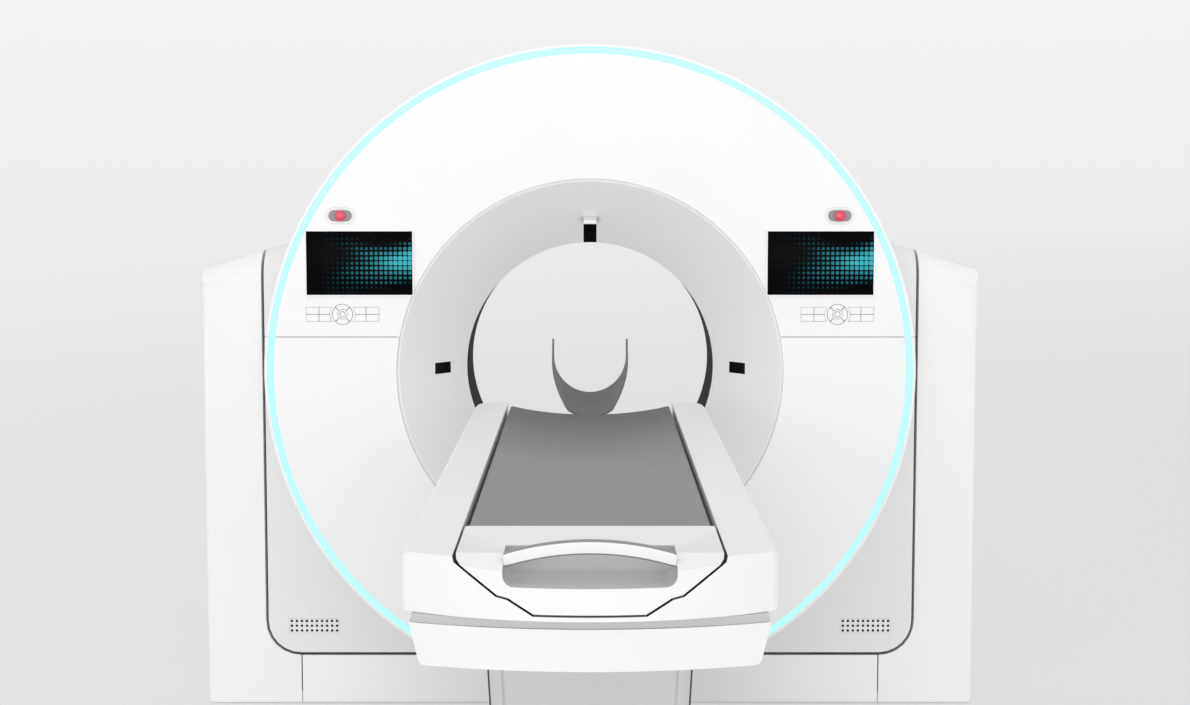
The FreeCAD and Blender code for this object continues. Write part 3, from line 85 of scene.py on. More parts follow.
HOOD_LOW, HOOD_HIGH = ISO_Z + BORE_R + 0.0550, ISO_Z + BORE_R + 0.0760
TABLE_TOP = 0.947
TABLE_HALF = 0.310
TABLE_REAR = -0.526
TROUGH_HALF = 0.2235        # just past the walls between which the cradle runs
BOW_FROM = -2.60            # the table's front bows out before this
FASCIA_BOTTOM = 0.850
CAP_BACK = -2.413
CAP_CREASE_Y = -2.657
POCKET_Z = 0.904
POCKET_BACK = -2.594
HANDLE_Y = -2.685           # middle of the handle's strap
HANDLE_END_Z = 0.941
HANDLE_HALF = 0.1397
HANDLE_RISE = 0.021
SKIRT_BOTTOM = 0.763
STAND_FRONT = -2.207
PAD_SWELL = 0.0012          # how far the mattress may puff out
STRAP_DEEP, STRAP_THICK = 0.0245, 0.0155
FLOOR_PLATE_TOP = 0.025
WASHER_R, NUT_R, STUD_R = 0.0165, 0.0138, 0.0078
ANCHORS = ((-0.230, -2.236), (0.230, -2.236), (-0.230, -0.796), (0.230, -0.796))
HAIR = 0.0001               # slack for comparing places


# ---------------------------------------------------------------- working on meshes
def put_down():
    """Leave edit mode and let go of everything."""
    if bpy.context.object and bpy.context.object.mode != "OBJECT":
        bpy.ops.object.mode_set(mode="OBJECT")
    bpy.ops.object.select_all(action="DESELECT")


def take(obj):
    put_down()
    obj.select_set(True)
    bpy.context.view_layer.objects.active = obj


def open_up(obj):
    """Edit mode, with nothing selected in the mesh."""
    take(obj)
    bpy.ops.object.mode_set(mode="EDIT")
    bpy.ops.mesh.select_mode(type="FACE")
    bpy.ops.mesh.select_all(action="DESELECT")


def choose(obj, test, kind="faces"):
    """Select the faces, edges or vertices that pass a test, in edit mode."""
    mode = {"faces": "FACE", "edges": "EDGE", "verts": "VERT"}[kind]
    bpy.ops.mesh.select_mode(type=mode)
    bpy.ops.mesh.select_all(action="DESELECT")
    mesh = bmesh.from_edit_mesh(obj.data)
    mesh.normal_update()
    for element in getattr(mesh, kind):
        if test(element):
            element.select_set(True)
    mesh.select_flush_mode()
    bmesh.update_edit_mesh(obj.data)


def settle(obj):
    """Put an object's place, turn and size into its mesh."""
    take(obj)
    bpy.ops.object.transform_apply(location=True, rotation=True, scale=True)


def apply_modifiers(obj):
    take(obj)
    for modifier in list(obj.modifiers):
        bpy.ops.object.modifier_apply(modifier=modifier.name)


def copy_of(obj, name):
    """The same piece once more, with its own mesh."""
    twin = obj.copy()
    twin.data = obj.data.copy()
    twin.name = name
    bpy.context.scene.collection.objects.link(twin)
    return twin


def join(objects, name):
    take(objects[0])
    for obj in objects[1:]:
        obj.select_set(True)
    bpy.ops.object.join()
    objects[0].name = name
    return objects[0]


def flat_piece(name, width=1.0, height=1.0):
    """A rectangle lying down, to be worked on."""
    put_down()
    bpy.ops.mesh.primitive_plane_add(size=1.0)
    obj = bpy.context.object
    obj.name = name
    obj.scale = (width, height, 1)
    settle(obj)
    return obj


def stand_up(obj, x, z, y=FRONT):
    """Move a piece drawn lying flat onto an upright front: its Z becomes the way out."""
    obj.rotation_euler = (math.radians(90), 0, 0)
    obj.location = (x, y, z)
    settle(obj)


def bevel_where(obj, test, width, segments=4):
    """Round only the edges that pass a test."""
    open_up(obj)
    choose(obj, test, "edges")
    bpy.ops.mesh.bevel(offset=width, segments=segments, affect="EDGES", clamp_overlap=True,
                       loop_slide=False)
    put_down()


def soften(obj, width, segments=2, angle=35.0):
    """Ease an object's edges and shade it smooth, with its flats kept flat."""
    if width:
        bevel = obj.modifiers.new("eased_edges", "BEVEL")
        bevel.width = width
        bevel.segments = segments
        bevel.limit_method = "ANGLE"
        bevel.angle_limit = math.radians(angle)
        bevel.use_clamp_overlap = True
        bevel.loop_slide = False
        apply_modifiers(obj)
    take(obj)
    bpy.ops.object.shade_smooth_by_angle(angle=math.radians(angle))
    obj.modifiers.new("flat_flats", "WEIGHTED_NORMAL").keep_sharp = True
    apply_modifiers(obj)


def place(obj, material, body, slot, *nodes):
    """Give a finished piece its material and its body, and hide the nodes that it stands for. Its
    slot is not used.
    """
    obj.data.materials.clear()
    obj.data.materials.append(material)
    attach(obj, body)
    if nodes:
        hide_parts(*nodes)
    return obj


def also(obj, material, test):
    """Give the faces that pass a test a second finish."""
    obj.data.materials.append(material)
    index = len(obj.data.materials) - 1
    for face in obj.data.polygons:
        if test(face.center, face.normal):
            face.material_index = index
    return obj


def skin_of(node):
    """A node's own shape as one closed skin, ready to be worked on."""
    mesh = NODES[node].data.copy()
    obj = bpy.data.objects.new(node + "_skin", mesh)
    bpy.context.scene.collection.objects.link(obj)
    take(obj)
    bpy.ops.mesh.customdata_custom_splitnormals_clear()
    open_up(obj)
    bpy.ops.mesh.select_all(action="SELECT")
    bpy.ops.mesh.remove_doubles(threshold=0.00001)
    bpy.ops.mesh.dissolve_limited(angle_limit=math.radians(0.6))
    put_down()
    return obj


def moulded(node, material, width=0.0012, segments=2, angle=35.0, rounds=()):
    """The same skin in its finish: first the larger rounds, then all its edges are eased."""
    obj = skin_of(node)
    for test, reach in rounds:
        bevel_where(obj, test, reach)
    soften(obj, width, segments, angle)
    return place(obj, material, BODY_OF[node], SLOT_OF[node], node)


# ---------------------------------------------------------------- finishes
def node_in(tree, kind, **settings):
    node = tree.nodes.new(kind)
    for name, value in settings.items():
        setattr(node, name, value)
    return node


def shader_group(name, inputs, outputs):
    """An empty node group with named sockets."""
    tree = bpy.data.node_groups.new(name, "ShaderNodeTree")
    for label, value in inputs:
        socket = tree.interface.new_socket(name=label, in_out="INPUT",
                                           socket_type="NodeSocketFloat")
        socket.default_value = value
    for label in outputs:
        tree.interface.new_socket(name=label, in_out="OUTPUT", socket_type="NodeSocketFloat")
    return tree, tree.nodes.new("NodeGroupInput"), tree.nodes.new("NodeGroupOutput")


def maths(tree, operation, a, b=None, c=None):
    node = node_in(tree, "ShaderNodeMath", operation=operation)
    for socket, value in zip(node.inputs, (a, b, c)):
        if value is None:
            continue
        if isinstance(value, (int, float)):
            socket.default_value = value
        else:
            tree.links.new(value, socket)
    return node.outputs[0]


def product(tree, first, second):
    return maths(tree, "MULTIPLY", first, second)


def held_between(tree, value, low, high):
    return maths(tree, "MINIMUM", maths(tree, "MAXIMUM", value, low), high)


def object_axes(tree):
    """A place's three coordinates, as sockets."""
    axes = tree.nodes.new("ShaderNodeSeparateXYZ")
    tree.links.new(tree.nodes.new("ShaderNodeTexCoord").outputs["Object"], axes.inputs[0])
    return axes.outputs["X"], axes.outputs["Y"], axes.outputs["Z"]


def make_moulding_group():
    """Fine orange peel, slow unevenness and faint handling marks of a moulded, sprayed cover."""
    tree, source, sink = shader_group(
        "moulded_surface", (("Peel Scale", 420.0), ("Peel Depth", 0.5), ("Marks", 0.5)),
        ("Height", "Marks", "Tone"))
    where = tree.nodes.new("ShaderNodeTexCoord").outputs["Object"]
    peel = node_in(tree, "ShaderNodeTexNoise")
    peel.inputs["Detail"].default_value = 2.0
    tree.links.new(where, peel.inputs["Vector"])
    tree.links.new(source.outputs["Peel Scale"], peel.inputs["Scale"])
    tree.links.new(product(tree, peel.outputs["Fac"], source.outputs["Peel Depth"]),
                   sink.inputs["Height"])
    slow = node_in(tree, "ShaderNodeTexNoise")
    slow.inputs["Scale"].default_value = 3.5
    slow.inputs["Detail"].default_value = 5.0
    tree.links.new(where, slow.inputs["Vector"])
    wipes = node_in(tree, "ShaderNodeMapRange")
    wipes.inputs["From Min"].default_value = 0.42
    wipes.inputs["From Max"].default_value = 0.72
    tree.links.new(slow.outputs["Fac"], wipes.inputs["Value"])
    tree.links.new(product(tree, wipes.outputs["Result"], source.outputs["Marks"]),
                   sink.inputs["Marks"])
    tree.links.new(slow.outputs["Fac"], sink.inputs["Tone"])
    return tree


def make_weave_group():
    """Crossed threads for cloth behind grilles and for the carbon board."""
    tree, source, sink = shader_group("crossed_threads", (("Threads", 900.0),), ("Height", "Mask"))
    x, y, z = object_axes(tree)
    threads = source.outputs["Threads"]
    along = maths(tree, "ADD", x, z)
    across = maths(tree, "SUBTRACT", y, z)
    crossed = product(tree, maths(tree, "SINE", product(tree, along, threads)),
                      maths(tree, "SINE", product(tree, across, threads)))
    tree.links.new(crossed, sink.inputs["Height"])
    tree.links.new(maths(tree, "MULTIPLY_ADD", crossed, 0.5, 0.5), sink.inputs["Mask"])
    return tree


def make_gap_shade_group():
    """Painted shade: marks what lies deeper than the sprayed face of the round covers, inside their
    rim, where gaps and grooves are painted dark.
    """
    tree, source, sink = shader_group("gap_shade_depth_mask", (("Face", FRONT + 0.0007), ("Rim", 0.905)),
                                      ("Mask",))
    x, y, z = object_axes(tree)
    deep = maths(tree, "GREATER_THAN", y, source.outputs["Face"])
    up = maths(tree, "SUBTRACT", z, ISO_Z)
    reach = maths(tree, "SQRT", maths(tree, "ADD", maths(tree, "POWER", x, 2.0),
                                      maths(tree, "POWER", up, 2.0)))
    inside = maths(tree, "LESS_THAN", reach, source.outputs["Rim"])
    tree.links.new(product(tree, deep, inside), sink.inputs["Mask"])
    return tree


def make_grain_group():
    """The fine pebbles of a coated cloth, with slow waves from use."""
    tree, source, sink = shader_group("coated_cloth", (("Pebbles", 1100.0), ("Waves", 5.0)),
                                      ("Height", "Tone"))
    where = tree.nodes.new("ShaderNodeTexCoord").outputs["Object"]
    pebbles = node_in(tree, "ShaderNodeTexVoronoi", feature="SMOOTH_F1")
    tree.links.new(where, pebbles.inputs["Vector"])
    tree.links.new(source.outputs["Pebbles"], pebbles.inputs["Scale"])
    waves = tree.nodes.new("ShaderNodeTexNoise")
    waves.inputs["Detail"].default_value = 4.0
    tree.links.new(where, waves.inputs["Vector"])
    tree.links.new(source.outputs["Waves"], waves.inputs["Scale"])
    height = maths(tree, "MULTIPLY_ADD", waves.outputs["Fac"], 0.6, pebbles.outputs["Distance"])
    tree.links.new(height, sink.inputs["Height"])
    tree.links.new(waves.outputs["Fac"], sink.inputs["Tone"])
    return tree


def make_picture_group():
    """A plain moving-light picture: a grid of small lit tiles that two soft waves brighten."""
    tree, source, sink = shader_group(
        "lit_tiles", (("Across", 0.5), ("Up", 0.5), ("Columns", 22.0), ("Rows", 13.0)),
        ("Light", "Tile"))

    def tile(value, count):
        """How far a place is from its tile's middle, and where that middle is."""
        scaled = product(tree, value, count)
        middle = maths(tree, "DIVIDE", maths(tree, "ADD", maths(tree, "FLOOR", scaled), 0.5), count)
        off = maths(tree, "SUBTRACT", maths(tree, "FRACT", scaled), 0.5)
        return maths(tree, "ABSOLUTE", off), middle

    off_x, across = tile(source.outputs["Across"], source.outputs["Columns"])
    off_y, up = tile(source.outputs["Up"], source.outputs["Rows"])

    def wave(height, slope, swing, turns, width):
        """One at the wave's ridge, falling to none at its width."""
        ridge = maths(tree, "MULTIPLY_ADD", across, slope, height)
        curl = maths(tree, "SINE", product(tree, across, turns))
        ridge = maths(tree, "MULTIPLY_ADD", curl, swing, ridge)
        off = maths(tree, "ABSOLUTE", maths(tree, "SUBTRACT", up, ridge))
        fall = maths(tree, "SUBTRACT", 1.0, maths(tree, "DIVIDE", off, width))
        return maths(tree, "MAXIMUM", fall, 0.0)

    waves = maths(tree, "ADD", wave(0.02, 0.62, 0.09, 4.6, 0.36),
                  product(tree, wave(0.86, -0.30, 0.07, 6.4, 0.20), 0.55))
    fade = maths(tree, "MAXIMUM", maths(tree, "SUBTRACT", across, 0.10), 0.0)
    fade = maths(tree, "POWER", fade, 1.5)
    light = maths(tree, "MINIMUM", product(tree, product(tree, waves, fade), 1.2), 1.0)
    size = maths(tree, "MULTIPLY_ADD", light, 0.20, 0.24)
    worst = maths(tree, "MAXIMUM", off_x, off_y)
    corner = maths(tree, "ADD", off_x, off_y)
    inside = product(tree, maths(tree, "LESS_THAN", worst, size),
                     maths(tree, "LESS_THAN", corner, product(tree, size, 1.7)))
    tree.links.new(light, sink.inputs["Light"])
    tree.links.new(inside, sink.inputs["Tile"])
    return tree


MOULDING = make_moulding_group()
THREADS = make_weave_group()
GAP_SHADE_GROUP = make_gap_shade_group()
GRAIN = make_grain_group()
PICTURE = make_picture_group()


def new_material(name):
    material = bpy.data.materials.new(name)
    material.use_nodes = True
    tree = material.node_tree
    return material, tree, tree.nodes["Principled BSDF"]


def blend_colours(tree, factor, first, second):
    mix = node_in(tree, "ShaderNodeMix", data_type="RGBA")
    tree.links.new(factor, mix.inputs["Factor"])
    for socket, value in ((mix.inputs[6], first), (mix.inputs[7], second)):
        if isinstance(value, tuple):
            socket.default_value = (*value, 1.0)
        else:
            tree.links.new(value, socket)
    return mix.outputs[2]


def add_relief(tree, shader, height, strength, distance=0.0002):
    """Fine relief from a height socket."""
    relief = tree.nodes.new("ShaderNodeBump")
    relief.inputs["Strength"].default_value = strength
    relief.inputs["Distance"].default_value = distance
    tree.links.new(height, relief.inputs["Height"])
    tree.links.new(relief.outputs["Normal"], shader.inputs["Normal"])


def finish(name, colour, roughness, tone=0.03, peel=(420.0, 0.5), bump=0.12, marks=0.5, rub=0.08,
           metallic=0.0, coat=0.0, specular=0.5, behind=None):
    """A moulded, sprayed or machined surface: colour and gloss vary a little over it. The colour
    given as behind is painted shade on what lies deeper than the face of the round covers, in their
    gaps and grooves."""
    material, tree, shader = new_material(name)
    surface = node_in(tree, "ShaderNodeGroup", node_tree=MOULDING)
    surface.inputs["Peel Scale"].default_value = peel[0]
    surface.inputs["Peel Depth"].default_value = peel[1]
    surface.inputs["Marks"].default_value = marks
    darker = tuple(channel * (1 - tone) for channel in colour)
    shown = blend_colours(tree, surface.outputs["Tone"], colour, darker)
    if behind:
        gap_shade_mask = node_in(tree, "ShaderNodeGroup", node_tree=GAP_SHADE_GROUP)
        shown = blend_colours(tree, gap_shade_mask.outputs["Mask"], shown, behind)
    tree.links.new(shown, shader.inputs["Base Color"])
    tree.links.new(maths(tree, "MULTIPLY_ADD", surface.outputs["Marks"], rub, roughness),
                   shader.inputs["Roughness"])
    add_relief(tree, shader, surface.outputs["Height"], bump)
    shader.inputs["Metallic"].default_value = metallic
    shader.inputs["Coat Weight"].default_value = coat
    shader.inputs["Coat Roughness"].default_value = 0.2
    shader.inputs["Specular IOR Level"].default_value = specular
    return material


def light_diffuser(name, colour, strength):
    """The lit ring: brightest along its middle."""
    material, tree, shader = new_material(name)
    where = tree.nodes.new("ShaderNodeTexCoord").outputs["Object"]
    centred = tree.nodes.new("ShaderNodeMapping")
    centred.inputs["Location"].default_value = (0, 0, -ISO_Z)
    centred.inputs["Scale"].default_value = (1, 0, 1)
    tree.links.new(where, centred.inputs["Vector"])
    reach = node_in(tree, "ShaderNodeVectorMath", operation="LENGTH")
    tree.links.new(centred.outputs[0], reach.inputs[0])
    off_middle = maths(tree, "ABSOLUTE", maths(tree, "SUBTRACT", reach.outputs["Value"], 0.900))
    fall = product(tree, off_middle, 1 / 0.010)
    pale = tuple(0.8 * channel + 0.2 for channel in colour)
    tree.links.new(blend_colours(tree, fall, pale, colour), shader.inputs["Emission Color"])
    shader.inputs["Emission Strength"].default_value = strength
    shader.inputs["Base Color"].default_value = (*(0.08 * channel for channel in colour), 1)
    shader.inputs["Roughness"].default_value = 0.3
    return material


def coated_cloth(name, colour, roughness):
    """The mattress cover: a smooth coated cloth, with painted shade darkening it towards the bore
    end.
    """
    material, tree, shader = new_material(name)
    cloth = node_in(tree, "ShaderNodeGroup", node_tree=GRAIN)
    darker = tuple(channel * 0.9 for channel in colour)
    # Painted shade: the cover darkens towards the end that lies in the bore.
    bore_end_ramp = node_in(tree, "ShaderNodeMapRange", interpolation_type="SMOOTHSTEP")
    bore_end_ramp.inputs["From Min"].default_value = -1.7
    bore_end_ramp.inputs["From Max"].default_value = -0.60
    tree.links.new(object_axes(tree)[1], bore_end_ramp.inputs["Value"])
    shown = blend_colours(tree, cloth.outputs["Tone"], colour, darker)
    bore_end_colour = tuple(channel * 0.46 for channel in colour)
    shown = blend_colours(tree, bore_end_ramp.outputs["Result"], shown, bore_end_colour)
    tree.links.new(shown, shader.inputs["Base Color"])
    tree.links.new(maths(tree, "MULTIPLY_ADD", cloth.outputs["Tone"], 0.12, roughness),
                   shader.inputs["Roughness"])
    add_relief(tree, shader, cloth.outputs["Height"], 0.25, 0.0004)
    shader.inputs["Specular IOR Level"].default_value = 0.3
    return material


def woven(name, colour, second, threads, roughness, coat=0.0):
    """A woven surface: speaker cloth, or fibres under a clear coat."""
    material, tree, shader = new_material(name)
    weave = node_in(tree, "ShaderNodeGroup", node_tree=THREADS)
    weave.inputs["Threads"].default_value = threads
    tree.links.new(blend_colours(tree, weave.outputs["Mask"], colour, second),
                   shader.inputs["Base Color"])
    add_relief(tree, shader, weave.outputs["Height"], 0.4)
    shader.inputs["Roughness"].default_value = roughness
    shader.inputs["Coat Weight"].default_value = coat
    return material


def lit_screen(name):
    """Black glass over a lit picture, which follows the piece's own UV map."""
    material, tree, shader = new_material(name)
    axes = tree.nodes.new("ShaderNodeSeparateXYZ")
    tree.links.new(node_in(tree, "ShaderNodeUVMap", uv_map="picture").outputs["UV"], axes.inputs[0])
    picture = node_in(tree, "ShaderNodeGroup", node_tree=PICTURE)
    tree.links.new(axes.outputs["X"], picture.inputs["Across"])
    tree.links.new(axes.outputs["Y"], picture.inputs["Up"])
    lit = blend_colours(tree, picture.outputs["Light"], (0.0, 0.035, 0.05), (0.05, 0.46, 0.52))
    lit_share = maths(tree, "MINIMUM", product(tree, picture.outputs["Light"], 6.0), 1.0)
    strength = product(tree, picture.outputs["Tile"], lit_share)
    tree.links.new(blend_colours(tree, strength, (0.0, 0.0, 0.0), lit),
                   shader.inputs["Emission Color"])
    shader.inputs["Emission Strength"].default_value = 1.0
    shader.inputs["Base Color"].default_value = (0.002, 0.002, 0.0025, 1)
    surface = node_in(tree, "ShaderNodeGroup", node_tree=MOULDING)
    tree.links.new(maths(tree, "MULTIPLY_ADD", surface.outputs["Marks"], 0.08, 0.24),
                   shader.inputs["Roughness"])
    shader.inputs["Specular IOR Level"].default_value = 0.02
    return material


WHITE = finish("sprayed_cover_white", (0.92, 0.92, 0.921), 0.42)
# Painted shade: the grey given as behind darkens the cover's gaps and grooves deeper than its face.
DISC_WHITE = finish("round_cover_white", (0.93, 0.93, 0.93), 0.36, behind=(0.30, 0.30, 0.305))
RIM_WHITE = finish("rim_white", (0.93, 0.93, 0.93), 0.36)
HEAD_WHITE = finish("head_shell_white", (0.83, 0.83, 0.832), 0.45)
# Painted shade: the stand's white covers are given a mid grey for the shade under the table.
STAND_SHADED_GREY = finish("stand_cover_painted_shade", (0.58, 0.58, 0.583), 0.45)
TABLE_WHITE = finish("table_cover_white", (0.875, 0.875, 0.875), 0.38)
FLARE_WHITE = finish("flare_satin_white", (0.955, 0.955, 0.957), 0.5)
HOOD_WHITE = finish("laser_hood_white", (0.93, 0.93, 0.93), 0.4)
WINDOW_DARK = finish("scan_window_smoke", (0.007, 0.007, 0.008), 0.6, bump=0.05, specular=0.03)
LASER_DARK = finish("laser_window_smoke", (0.004, 0.004, 0.005), 0.15, bump=0.01, specular=0.15)
DECK_GREY = finish("shadow_plate_grey", (0.54, 0.54, 0.543), 0.55)
PAD_GREY = coated_cloth("mattress_grey", (0.27, 0.27, 0.272), 0.5)
BOARD_DARK = woven("cradle_board_fibre", (0.020, 0.020, 0.022), (0.045, 0.045, 0.048),
                   1400.0, 0.35, coat=0.3)
HANDLE_WHITE = finish("handle_satin_white", (0.86, 0.86, 0.86), 0.3, coat=0.2)
HOLDER_GREY = finish("holder_grey", (0.160, 0.160, 0.163), 0.5, peel=(700.0, 1.0),
                     bump=0.25, specular=0.3)
PLATE_GREY = finish("stop_plate_grey", (0.30, 0.30, 0.30), 0.5)
BUTTON_RED = finish("stop_button_red", (0.88, 0.045, 0.115), 0.25, coat=0.2)
# Painted shade: the near black given as behind darkens the keys' sides below their faces, in the
# gaps.
KEY_WHITE = finish("key_white", (0.93, 0.93, 0.93), 0.4, behind=(0.05, 0.05, 0.052))
# Painted shade: near black standing in for the shade in gaps, trough walls and the stand's front
# corners.
GAP_SHADE_BLACK = finish("gap_shade_black_paint", (0.03, 0.03, 0.031), 0.7)
# Painted shade: mid grey standing in for the shade in the handle's pocket and the shadow round the
# stop rims.
SHADE_GREY_PAINT = finish("painted_shade_grey", (0.50, 0.50, 0.503), 0.5)
# Painted shade: darker grey for the handle strap's top and underside.
STRAP_SHADE_GREY = finish("handle_painted_edge_shade", (0.26, 0.26, 0.262), 0.35)
# Painted shade: near black for the key carrier that shows through the gaps between the caps.
KEY_SHADOW = finish("key_carrier_painted_shade", (0.05, 0.05, 0.052), 0.6)
FRAME_PAINT = finish("frame_paint", (0.27, 0.28, 0.30), 0.5, peel=(300.0, 1.0), bump=0.3)
RUBBER = finish("foot_rubber_black", (0.02, 0.02, 0.02), 0.8, bump=0.4)
COLUMN_METAL = finish("column_anodised", (0.55, 0.55, 0.56), 0.35, metallic=0.9, peel=(600.0, 1.0))
ANCHOR_STEEL = finish("anchor_zinc", (0.50, 0.50, 0.49), 0.4, metallic=1.0,
                      peel=(500.0, 1.0), bump=0.2)
ROTOR_METAL = finish("rotor_casting", (0.48, 0.48, 0.50), 0.4, metallic=0.9,
                     peel=(250.0, 1.0), bump=0.4)
TUBE_PAINT = finish("tube_paint", (0.33, 0.33, 0.35), 0.45)
DETECTOR_PAINT = finish("detector_paint", (0.05, 0.05, 0.06), 0.5)
POWER_PAINT = finish("power_box_paint", (0.22, 0.24, 0.27), 0.5)
SPEAKER_CLOTH = woven("speaker_cloth_black", (0.004, 0.004, 0.004), (0.012, 0.012, 0.012),
                      5200.0, 0.9)
SCREEN_LIT = lit_screen("screen_glass_lit")
RING_GLOW = light_diffuser("ring_light_cyan", (0.40, 0.97, 0.92), 0.97)


# ---------------------------------------------------------------- covers
def off_bore(point):
    """How far a point is from the axis of the bore."""
    return math.hypot(point.x, point.z - ISO_Z)


def along_edge(test):
    """An edge passes where both its ends do."""
    return lambda edge: all(test(vert.co) for vert in edge.verts)


def near(value, target, slack=HAIR):
    return abs(value - target) < slack


on_rim = along_edge(lambda p: near(off_bore(p), DISC_R, 0.0006) and near(p.y, FRONT))
on_mouth = along_edge(lambda p: near(off_bore(p), FLARE_R, 0.0008) and near(p.y, FRONT, 0.0012))
table_top_edge = along_edge(lambda p: p.z > TABLE_TOP - 0.0085
                            and (abs(p.x) > TABLE_HALF - 0.011 or p.y < BOW_FROM)
                            and (abs(p.x) > TROUGH_HALF + 0.0045 or p.y > TABLE_REAR - 0.024))
table_low_edge = along_edge(lambda p: near(p.z, FASCIA_BOTTOM)
                            and (abs(p.x) > TABLE_HALF - 0.060 or p.y < BOW_FROM - 0.030))
skirt_low_edge = along_edge(lambda p: near(p.z, SKIRT_BOTTOM)
                            and (abs(p.x) > 0.2 or p.y < BOW_FROM))


def cap_corner(edge):
    """The upright ends of the cap's back."""
    return (all(near(v.co.y, CAP_BACK) and abs(v.co.x) > 0.148 for v in edge.verts)
            and near(edge.verts[0].co.x, edge.verts[1].co.x, 0.1))


for node_name in ("front_cover_upper", "front_cover_lower"):
    moulded(node_name, DISC_WHITE, 0.0006, rounds=((on_rim, 0.004),))
moulded("rear_cover", RIM_WHITE, 0.0012)
moulded("front_flare", FLARE_WHITE, 0.0008, rounds=((on_mouth, 0.0022),))
moulded("scan_window", WINDOW_DARK, 0.0)
moulded("laser_windows", LASER_DARK, 0.0003)
moulded("light_ring", RING_GLOW, 0.0004)
for node_name in ("head_shell_upper", "head_shell_lower"):
    moulded(node_name, HEAD_WHITE)
moulded("base_panels", RIM_WHITE)
moulded("tower_covers", WHITE, 0.0015)
moulded("screen_bezels", RIM_WHITE, 0.001)
moulded("control_plates", PLATE_GREY, 0.0005)
shell = moulded("table_shell", TABLE_WHITE, 0.0008,
                rounds=((table_top_edge, 0.005), (table_low_edge, 0.004)))
# Painted shade: the trough's upright walls at the foot end are painted near black.
also(shell, GAP_SHADE_BLACK, lambda c, n: c.y < CAP_BACK and abs(c.x) < TROUGH_HALF
     and abs(n.y) < 0.3 and n.z < 0.95)
moulded("table_skirt", TABLE_WHITE, 0.0012, rounds=((skirt_low_edge, 0.007),))
moulded("table_deck", DECK_GREY, 0.0008)
stand_front = moulded("table_upper_cover", STAND_SHADED_GREY, 0.0004)
# Painted shade: a dark strip painted on the rounded front corners of the stand cover.
also(stand_front, GAP_SHADE_BLACK, lambda c, n: c.y < STAND_FRONT + 0.04 and 0.2 < -n.y < 0.5)
for node_name in ("table_mid_cover", "table_lower_cover"):
    moulded(node_name, STAND_SHADED_GREY, 0.001)
moulded("head_holder", HOLDER_GREY, 0.0016, 3)
for side_name, _ in SIDES:
    for row in ("upper", "lower"):
        for number in (1, 2, 3, 4):
            moulded(f"{side_name}_{row}_key_{number}", KEY_WHITE, 0.0003)


def make_end_cap():
    """The cap at the foot end, with round rear corners and a crisp crease across it."""
    cap = moulded("end_cap", TABLE_WHITE, 0.0009, rounds=((cap_corner, 0.012),))
    open_up(cap)
    choose(cap, along_edge(lambda p: near(p.y, CAP_CREASE_Y, 0.004) and p.z > TABLE_TOP - 0.002),
           "edges")
    bpy.ops.mesh.mark_sharp()
    put_down()
    # Painted shade: the cap's upright and downward faces are painted near black, except within the
    # pocket.
    also(cap, GAP_SHADE_BLACK, lambda c, n: abs(n.y) < 0.3 and n.z < 0.3
         and (abs(c.x) > HANDLE_HALF + 0.002 or c.z < POCKET_Z - 0.002))
    # Painted shade: the pocket behind the handle is painted grey.
    return also(cap, SHADE_GREY_PAINT, lambda c, n: abs(c.x) < HANDLE_HALF + 0.0005
                and c.z > POCKET_Z - 0.0005 and HANDLE_Y - 0.035 < c.y < POCKET_BACK + 0.001)


make_end_cap()


# ---------------------------------------------------------------- handle and mattress
def make_handle():
    """An arched strap with round edges, swept from one wall of the pocket to the other."""
    radius = (HANDLE_HALF ** 2 + HANDLE_RISE ** 2) / (2 * HANDLE_RISE)
    swing = math.asin(HANDLE_HALF / radius)
    hub_z = HANDLE_END_Z + HANDLE_RISE - radius
    strap = flat_piece("handle_strap", STRAP_DEEP, STRAP_THICK)
    open_up(strap)
    bpy.ops.mesh.select_all(action="SELECT")
    bpy.ops.mesh.bevel(offset=0.0052, segments=4, affect="VERTICES")
    put_down()
    strap.rotation_euler = (0, math.radians(90) - swing, 0)
    strap.location = (-radius * math.sin(swing), HANDLE_Y, hub_z + radius * math.cos(swing))
    settle(strap)
    open_up(strap)
    bpy.ops.mesh.select_all(action="SELECT")
    bpy.ops.mesh.spin(steps=28, angle=-2 * swing, center=(0, HANDLE_Y, hub_z), axis=(0, 1, 0))
    for way in (-1, 1):
        choose(strap, lambda v: way * v.co.x > HANDLE_HALF - 0.0050, "verts")
        bpy.ops.transform.resize(value=(0, 1, 1),
                                 center_override=(way * HANDLE_HALF, HANDLE_Y, HANDLE_END_Z))
    bpy.ops.mesh.select_all(action="SELECT")
    bpy.ops.mesh.remove_doubles(threshold=0.00002)
    bpy.ops.mesh.normals_make_consistent(inside=False)
    put_down()
    soften(strap, 0.0)
    place(strap, HANDLE_WHITE, "cradle", "handle_white", "grab_handle")
    # Painted shade: the strap's faces that don't face front or back are painted dark grey.
    return also(strap, STRAP_SHADE_GREY, lambda c, n: abs(n.y) < 0.9)


def puff_up(pad):
    """Let the pad's cover puff out under a little pressure, held where it rests on the board."""
    before = [vert.co.copy() for vert in pad.data.vertices]
    held = pad.vertex_groups.new(name="held")
    held.add([vert.index for vert in pad.data.vertices if vert.normal.z < -0.4], 1.0, "REPLACE")
    cloth = pad.modifiers.new("puffed", "CLOTH")
    cloth.settings.quality = 4
    cloth.settings.mass = 0.3
    cloth.settings.use_pressure = True
    cloth.settings.uniform_pressure_force = 4.0
    cloth.settings.vertex_group_mass = "held"
    cloth.settings.effector_weights.gravity = 0.0
    cloth.collision_settings.use_collision = False
    for step in range(1, 21):
        bpy.context.scene.frame_set(step)
    apply_modifiers(pad)
    for vert, start in zip(pad.data.vertices, before):
        moved = vert.co - start
        if moved.length > PAD_SWELL:
            vert.co = start + moved * (PAD_SWELL / moved.length)
    bpy.context.scene.frame_set(1)


